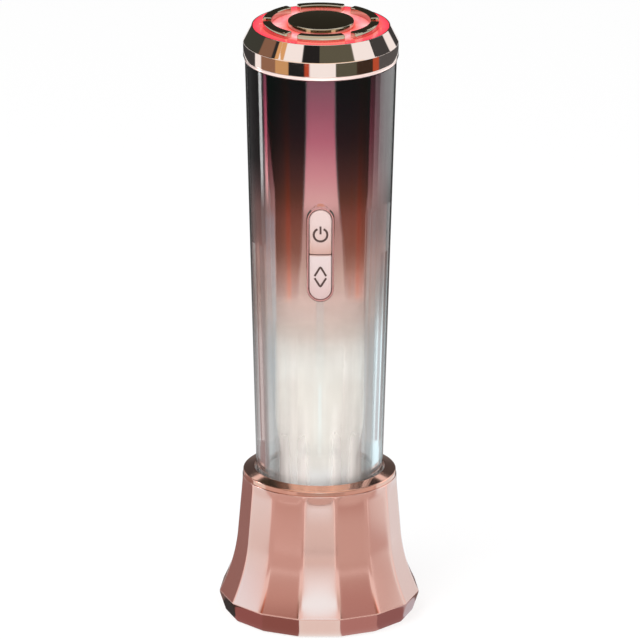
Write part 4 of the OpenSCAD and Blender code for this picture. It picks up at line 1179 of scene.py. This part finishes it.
# Curved cards round the object, seen only in mirrors and glass, in degrees from the front to the right
# and millimetres of height. "edges" holds rows of (height, start, stop), or low, high, start and stop where
# both rows are alike, and "reach" how far off the first and the last row stand. "soft" is the share of the width
# that fades at the sides. "across" holds the degrees from which a colour starts, and "up" the share of the height
# at which it lies, or the name of a list in lightByHeight; where both are given they multiply.
dark, dusk, rose, sky = (0.035, 0.03, 0.03), (0.34, 0.23, 0.22), (0.62, 0.5, 0.48), (1.1, 1.72, 1.98)
cards = {
    "centreStrip": {"edges": (0.3, 74, -9, 9), "soft": 0.2, "up": {0: (0.93, 1.1, 1.15), 0.1: (0.86, 0.95, 0.95),
        0.2: (0.8, 0.83, 0.82), 0.28: (0.88, 1.05, 1.1), 0.45: (1.0, 1.16, 1.22), 0.68: (1.0, 1.14, 1.18),
        0.85: sky, 0.93: sky, 1: white}},
    "warmLeft": {"edges": [(0.3, -84, -9.5), (20, -84, -9.5), (24, -60, -30)], "soft": 0.06,
        "up": {0: (0.72, 0.59, 0.56), 0.6: (0.7, 0.58, 0.55), 0.85: (0.69, 0.56, 0.53), 1: white}},
    "footLeft": {"edges": (22, 44, -50, -33), "reach": (90, 90), "soft": 0.08, "up": {0: (0.66, 0.53, 0.5),
        0.5: (0.64, 0.48, 0.44), 0.85: (0.46, 0.3, 0.27)}},
    "footCentre": {"edges": (22, 44, -4.5, 4.5), "reach": (90, 90), "soft": 0.3, "up": {0: (0.9, 1.1, 1.15),
        0.3: (1.06, 1.45, 1.62), 0.6: sky, 1: sky}},
    "footRight": {"edges": (22, 44, 33, 50), "reach": (90, 90), "soft": 0.08, "up": {0: (0.6, 0.47, 0.44),
        0.5: (0.54, 0.37, 0.35), 1: (0.54, 0.38, 0.37)}},
    "warmRight": {"edges": [(0.3, 9.5, 84), (20, 9.5, 84), (24, 30, 60)], "soft": 0.06,
        "up": {0: (0.68, 0.57, 0.54), 0.4: (0.7, 0.61, 0.58), 0.8: (0.63, 0.51, 0.48), 1: white}},
    "flankLeft": {"edges": [(46, -84, -39), (54, -84, -36), (60, -84, -31.5), (66, -84, -30.5), (72, -84, -28.5),
        (79, -84, -26), (88, -90, -24), (100, -97, -21.5), (122, -97, -20)], "soft": 0.035, "across": {-97: white,
        -62: (1.2, 0.95, 0.85), -60: (1.3, 0.88, 0.72), -57.5: (1.45, 0.83, 0.56), -55: (1.35, 0.9, 0.75),
        -52: white}, "up": "flank"},
    "flankRight": {"edges": [(46, 45, 84), (54, 41, 84), (60, 39, 84), (66, 37, 84), (72, 32, 84), (79, 28, 88),
        (88, 24.5, 88), (100, 21.5, 88), (122, 20, 88)], "soft": 0.035, "across": {17: white, 52: (1.05, 0.9, 0.8),
        56: white, 62: (1.3, 1.15, 1.1), 65.5: (1.5, 1.0, 0.8), 68: (1.55, 0.92, 0.72), 71: (1.6, 1.1, 0.95),
        74: (1.5, 1.25, 1.2), 78: (1.6, 1.5, 1.5)}, "up": "flank"},
    "keyShadeLeft": {"edges": [(46, -43, -9.5), (54, -40, -9.5), (60, -35, -9.5), (66, -34, -9.5), (72, -32, -9.5),
        (74, -31, -9.5)], "reach": (153, 153), "up": "keyShade"},
    "keyShadeRight": {"edges": [(46, 9.5, 49), (54, 9.5, 45), (60, 9.5, 43), (66, 9.5, 41), (72, 9.5, 36),
        (74, 9.5, 35)], "reach": (153, 153), "up": "keyShade"},
    "paleLeft": {"edges": (0.3, 74, -96, -84.5), "soft": 0.08, "up": {0: (0.9, 1.1, 1.15), 0.35: (0.95, 1.28, 1.46),
        0.7: (1.03, 1.46, 1.68), 0.95: (1.03, 1.46, 1.68), 1: white}},
    "stepRight": {"edges": (0.3, 74, 84.5, 97), "soft": 0.02, "across": {84.5: rose, 87.4: (0.8, 0.8, 0.78),
        88.6: (0.95, 1.16, 1.22)}},
    "brightLeft": {"edges": (74.5, 122, -105, -97.5), "soft": 0.1, "up": {0: 1.0, 0.25: 6.5, 1: 7.0}},
    "shadeLeft": {"edges": (62.5, 122, -146, -105.5), "soft": 0.03, "across": {-146: 0.45, -140: 0.75, -136: white},
        "up": {0: (0.7, 0.54, 0.52), 0.2: (0.64, 0.5, 0.48), 0.34: (0.34, 0.3, 0.3), 0.46: 0.17, 1: 0.15}},
    "duskLeft": {"edges": (0.3, 62.5, -146, -112), "soft": 0.05, "across": {-146: white, -138.5: (1.9, 2.3, 2.3),
        -128: white}, "up": {0: dusk, 0.6: dusk, 0.9: (0.6, 0.46, 0.44), 1: (0.7, 0.54, 0.52)}},
    "paleRight": {"edges": (0.3, 60, 112, 146), "soft": 0.05, "across": {112: white, 128: (0.66, 0.54, 0.52),
        140: white}, "up": {0: (0.86, 1.02, 1.08), 0.8: (0.9, 1.14, 1.22), 1: white}},
    "panelRight": {"edges": (75, 122, 97.5, 146), "soft": 0.03, "across": {97.5: white, 116: 0.8, 126: 0.65,
        134: 0.5, 141: 0.32}, "up": {0: 1.1, 0.25: 2.0, 1: 2.2}},
    "sideLeft": {"edges": (0.3, 20, -146, -112), "reach": (90, 90), "soft": 0.05, "up": {0: dusk, 1: dusk}},
    "sideRight": {"edges": (0.3, 20, 112, 146), "reach": (90, 90), "soft": 0.05, "up": {0: (0.86, 1.02, 1.08),
        1: (0.87, 1.06, 1.12)}},
    "edgeLeft": {"edges": (0.3, 122, -180, -146.2), "up": {0: 0.45, 0.3: 0.22, 0.6: 0.1, 1: 0.08}},
    "edgeRight": {"edges": (0.3, 122, 146.2, 180), "up": {0: 0.45, 0.3: 0.22, 0.6: 0.1, 1: 0.08}},
    "collarBand": {"edges": (122.5, 131, -180, 180), "across": {-180: 0.05, -108: white, -94: (0.3, 0.16, 0.1),
        -67: (0.62, 0.36, 0.16), -46: 0.02, -22.6: (0.5, 0.077, 0.033), -15.6: white, 20.3: (0.1, 0.1, 0.07),
        51: (0.05, 0.03, 0.02), 78: (0.5, 0.09, 0.04), 90: 0.1}},
    "warmFront": {"edges": (158, 240, -62, 62), "up": {0: (1.1, 0.85, 0.6), 1: (0.95, 0.68, 0.44)}},
    "slopeFront": {"edges": (246, 330, -65, 68), "across": {-65: (0.75, 0.42, 0.18), -57: white, -28.6: 0.02,
        -2: (0.115, 0.115, 0.08), 51: white}},
    "slopeLeft": {"edges": (150, 330, -161, -65.2), "across": {-161: (0.05, 0.055, 0.045), -100: (0.25, 0.14, 0.09),
        -77: 0.03, -71: (0.75, 0.42, 0.18)}},
    "slopeRight": {"edges": (150, 330, 84, 161), "across": {84: 0.06, 115: white, 135: 0.05}},
    "highBack": {"edges": (150, 480, 161, 199), "up": {0: (0.05, 0.045, 0.035), 1: (0.02, 0.02, 0.015)}},
    "floorFar": {"edges": (0.3, 0.3, -180, 180), "reach": (141.5, 150), "across": {-180: 0.45, -146: dusk,
        -112: (0.9, 1.05, 1.1), -84: (0.66, 0.53, 0.5), -47: white, -32: dark, 35: (0.66, 0.56, 0.53), 84: rose,
        88.6: (0.92, 1.1, 1.16), 146: 0.45}},
    "floorMiddle": {"edges": (0.3, 0.3, -180, 180), "reach": (60, 141.5), "across": {-180: 0.45, -146: dusk,
        -112: (0.88, 1.02, 1.06), -84: (0.71, 0.59, 0.56), -20: (0.71, 0.64, 0.61), 20: (0.71, 0.62, 0.59),
        84: rose, 88.6: (0.92, 1.1, 1.16), 146: 0.45}},
    "floorNear": {"edges": (0.3, 0.3, -180, 180), "reach": (23, 48), "across": {-180: (0.2, 0.15, 0.14),
        -94.5: (0.05, 0.05, 0.05), -67.5: (0.32, 0.16, 0.16), -40.5: (0.29, 0.15, 0.14), -13.5: (0.93, 1.1, 1.13),
        13.5: (0.5, 0.33, 0.33), 40.5: (0.32, 0.19, 0.2), 67.5: (0.54, 0.54, 0.6), 94.5: (0.2, 0.15, 0.14)}},
}
# Light on the cards beside the keys and the tube, by height in millimetres
lightByHeight = {
    "flank": {46: (0.92, 0.9, 0.9), 48: (0.76, 0.66, 0.64), 52.5: (0.62, 0.45, 0.41), 57: (0.4, 0.26, 0.2),
        61.5: (0.34, 0.2, 0.15), 66: (0.33, 0.18, 0.125), 72: (0.29, 0.16, 0.12), 78: (0.18, 0.12, 0.085),
        85: (0.115, 0.105, 0.085), 95: (0.06, 0.1, 0.08), 105: (0.045, 0.11, 0.09), 122: (0.045, 0.12, 0.09)},
    "keyShade": {46: white, 49: (0.92, 0.92, 0.9), 52.5: (0.84, 0.86, 0.8), 57: (0.75, 0.74, 0.7),
        61.5: (0.75, 0.71, 0.69), 66: (0.68, 0.65, 0.61), 70: (0.64, 0.61, 0.59), 72: (0.78, 0.76, 0.75),
        74: white},
}


# Steps of colour by angle, each change spread over about a degree
def angleStops(steps):
    half = 0.0015
    (first, before), *others = steps.items()
    stops = {first / 360 + 0.5: before}
    for angle, colour in others:
        place = angle / 360 + 0.5
        stops.update({place - half: before, place + half: colour})
        before = colour
    return stops


def makeCard(name, card):
    columns = 60
    near, far = card.get("reach", (studio["cardDistance"],) * 2)
    edges = card["edges"]
    if not isinstance(edges[0], tuple):
        edges = [(z, *edges[2:]) for z in edges[:2]]
    rows = len(edges) - 1
    low, high = edges[0][0], edges[-1][0]
    points, places, shares = [], [], []
    for j, (z, start, stop) in enumerate(edges):
        up = (z - low) / (high - low) if high > low else j / rows
        reach = near + (far - near) * j / rows
        for degrees in evenly(start, stop, columns):
            angle = radians(degrees)
            points.append(Vector((reach * sin(angle), -reach * cos(angle), z)) * metre)
            places.append((degrees / 360 + 0.5, up))
            shares.append(((degrees - start) / (stop - start), up))
    corners = [j * (columns + 1) + i for j in range(rows) for i in range(columns)]
    mesh = bpy.data.meshes.new(name)
    mesh.from_pydata(points, [], [(k, k + 1, k + columns + 2, k + columns + 1) for k in corners])
    material = bpy.data.materials.new(name)
    tree, surface = clearTree(material)
    axes = []
    for label, values in (("cardPlace", places), ("cardShare", shares)):
        layer = mesh.uv_layers.new(name=label)
        for loop in mesh.loops:
            layer.data[loop.index].uv = values[loop.vertex_index]
        axes.append(axesOf(outOf(tree, "ShaderNodeUVMap", uv_map=label)))
    place, share = axes
    colours = []
    if "across" in card:
        colours.append(ramp(place["X"], angleStops(card["across"])))
    stops = card.get("up")
    if isinstance(stops, str):
        stops = sharesOf(lightByHeight[stops], low, high)
    if stops:
        colours.append(ramp(place["Y"], stops))
    colour = colours[0] if len(colours) == 1 else blendColour(1.0, *colours, "MULTIPLY")
    lit = maths("LESS_THAN")(newNode(tree, "ShaderNodeLightPath").outputs["Diffuse Depth"], 0.5)
    if "soft" in card:
        edge = smaller(share["X"], subtract(1.0, share["X"]))
        lit = multiply(lit, spread(edge, 0.0, card["soft"]))
    glow = outOf(tree, "ShaderNodeEmission", {"Color": colour})
    mixInto(tree, surface, lit, outOf(tree, "ShaderNodeBsdfTransparent"), glow)
    mesh.materials.append(material)
    thing = newThing(name, mesh)
    hide(thing, "camera", "diffuse", "shadow")


makeFloor()
makeWorld()
for name, values in studio["lamps"].items():
    makeLamp(name, *values)
for name, card in cards.items():
    makeCard(name, card)
print("studio set")

# ---- The end ----


print("scene script done")
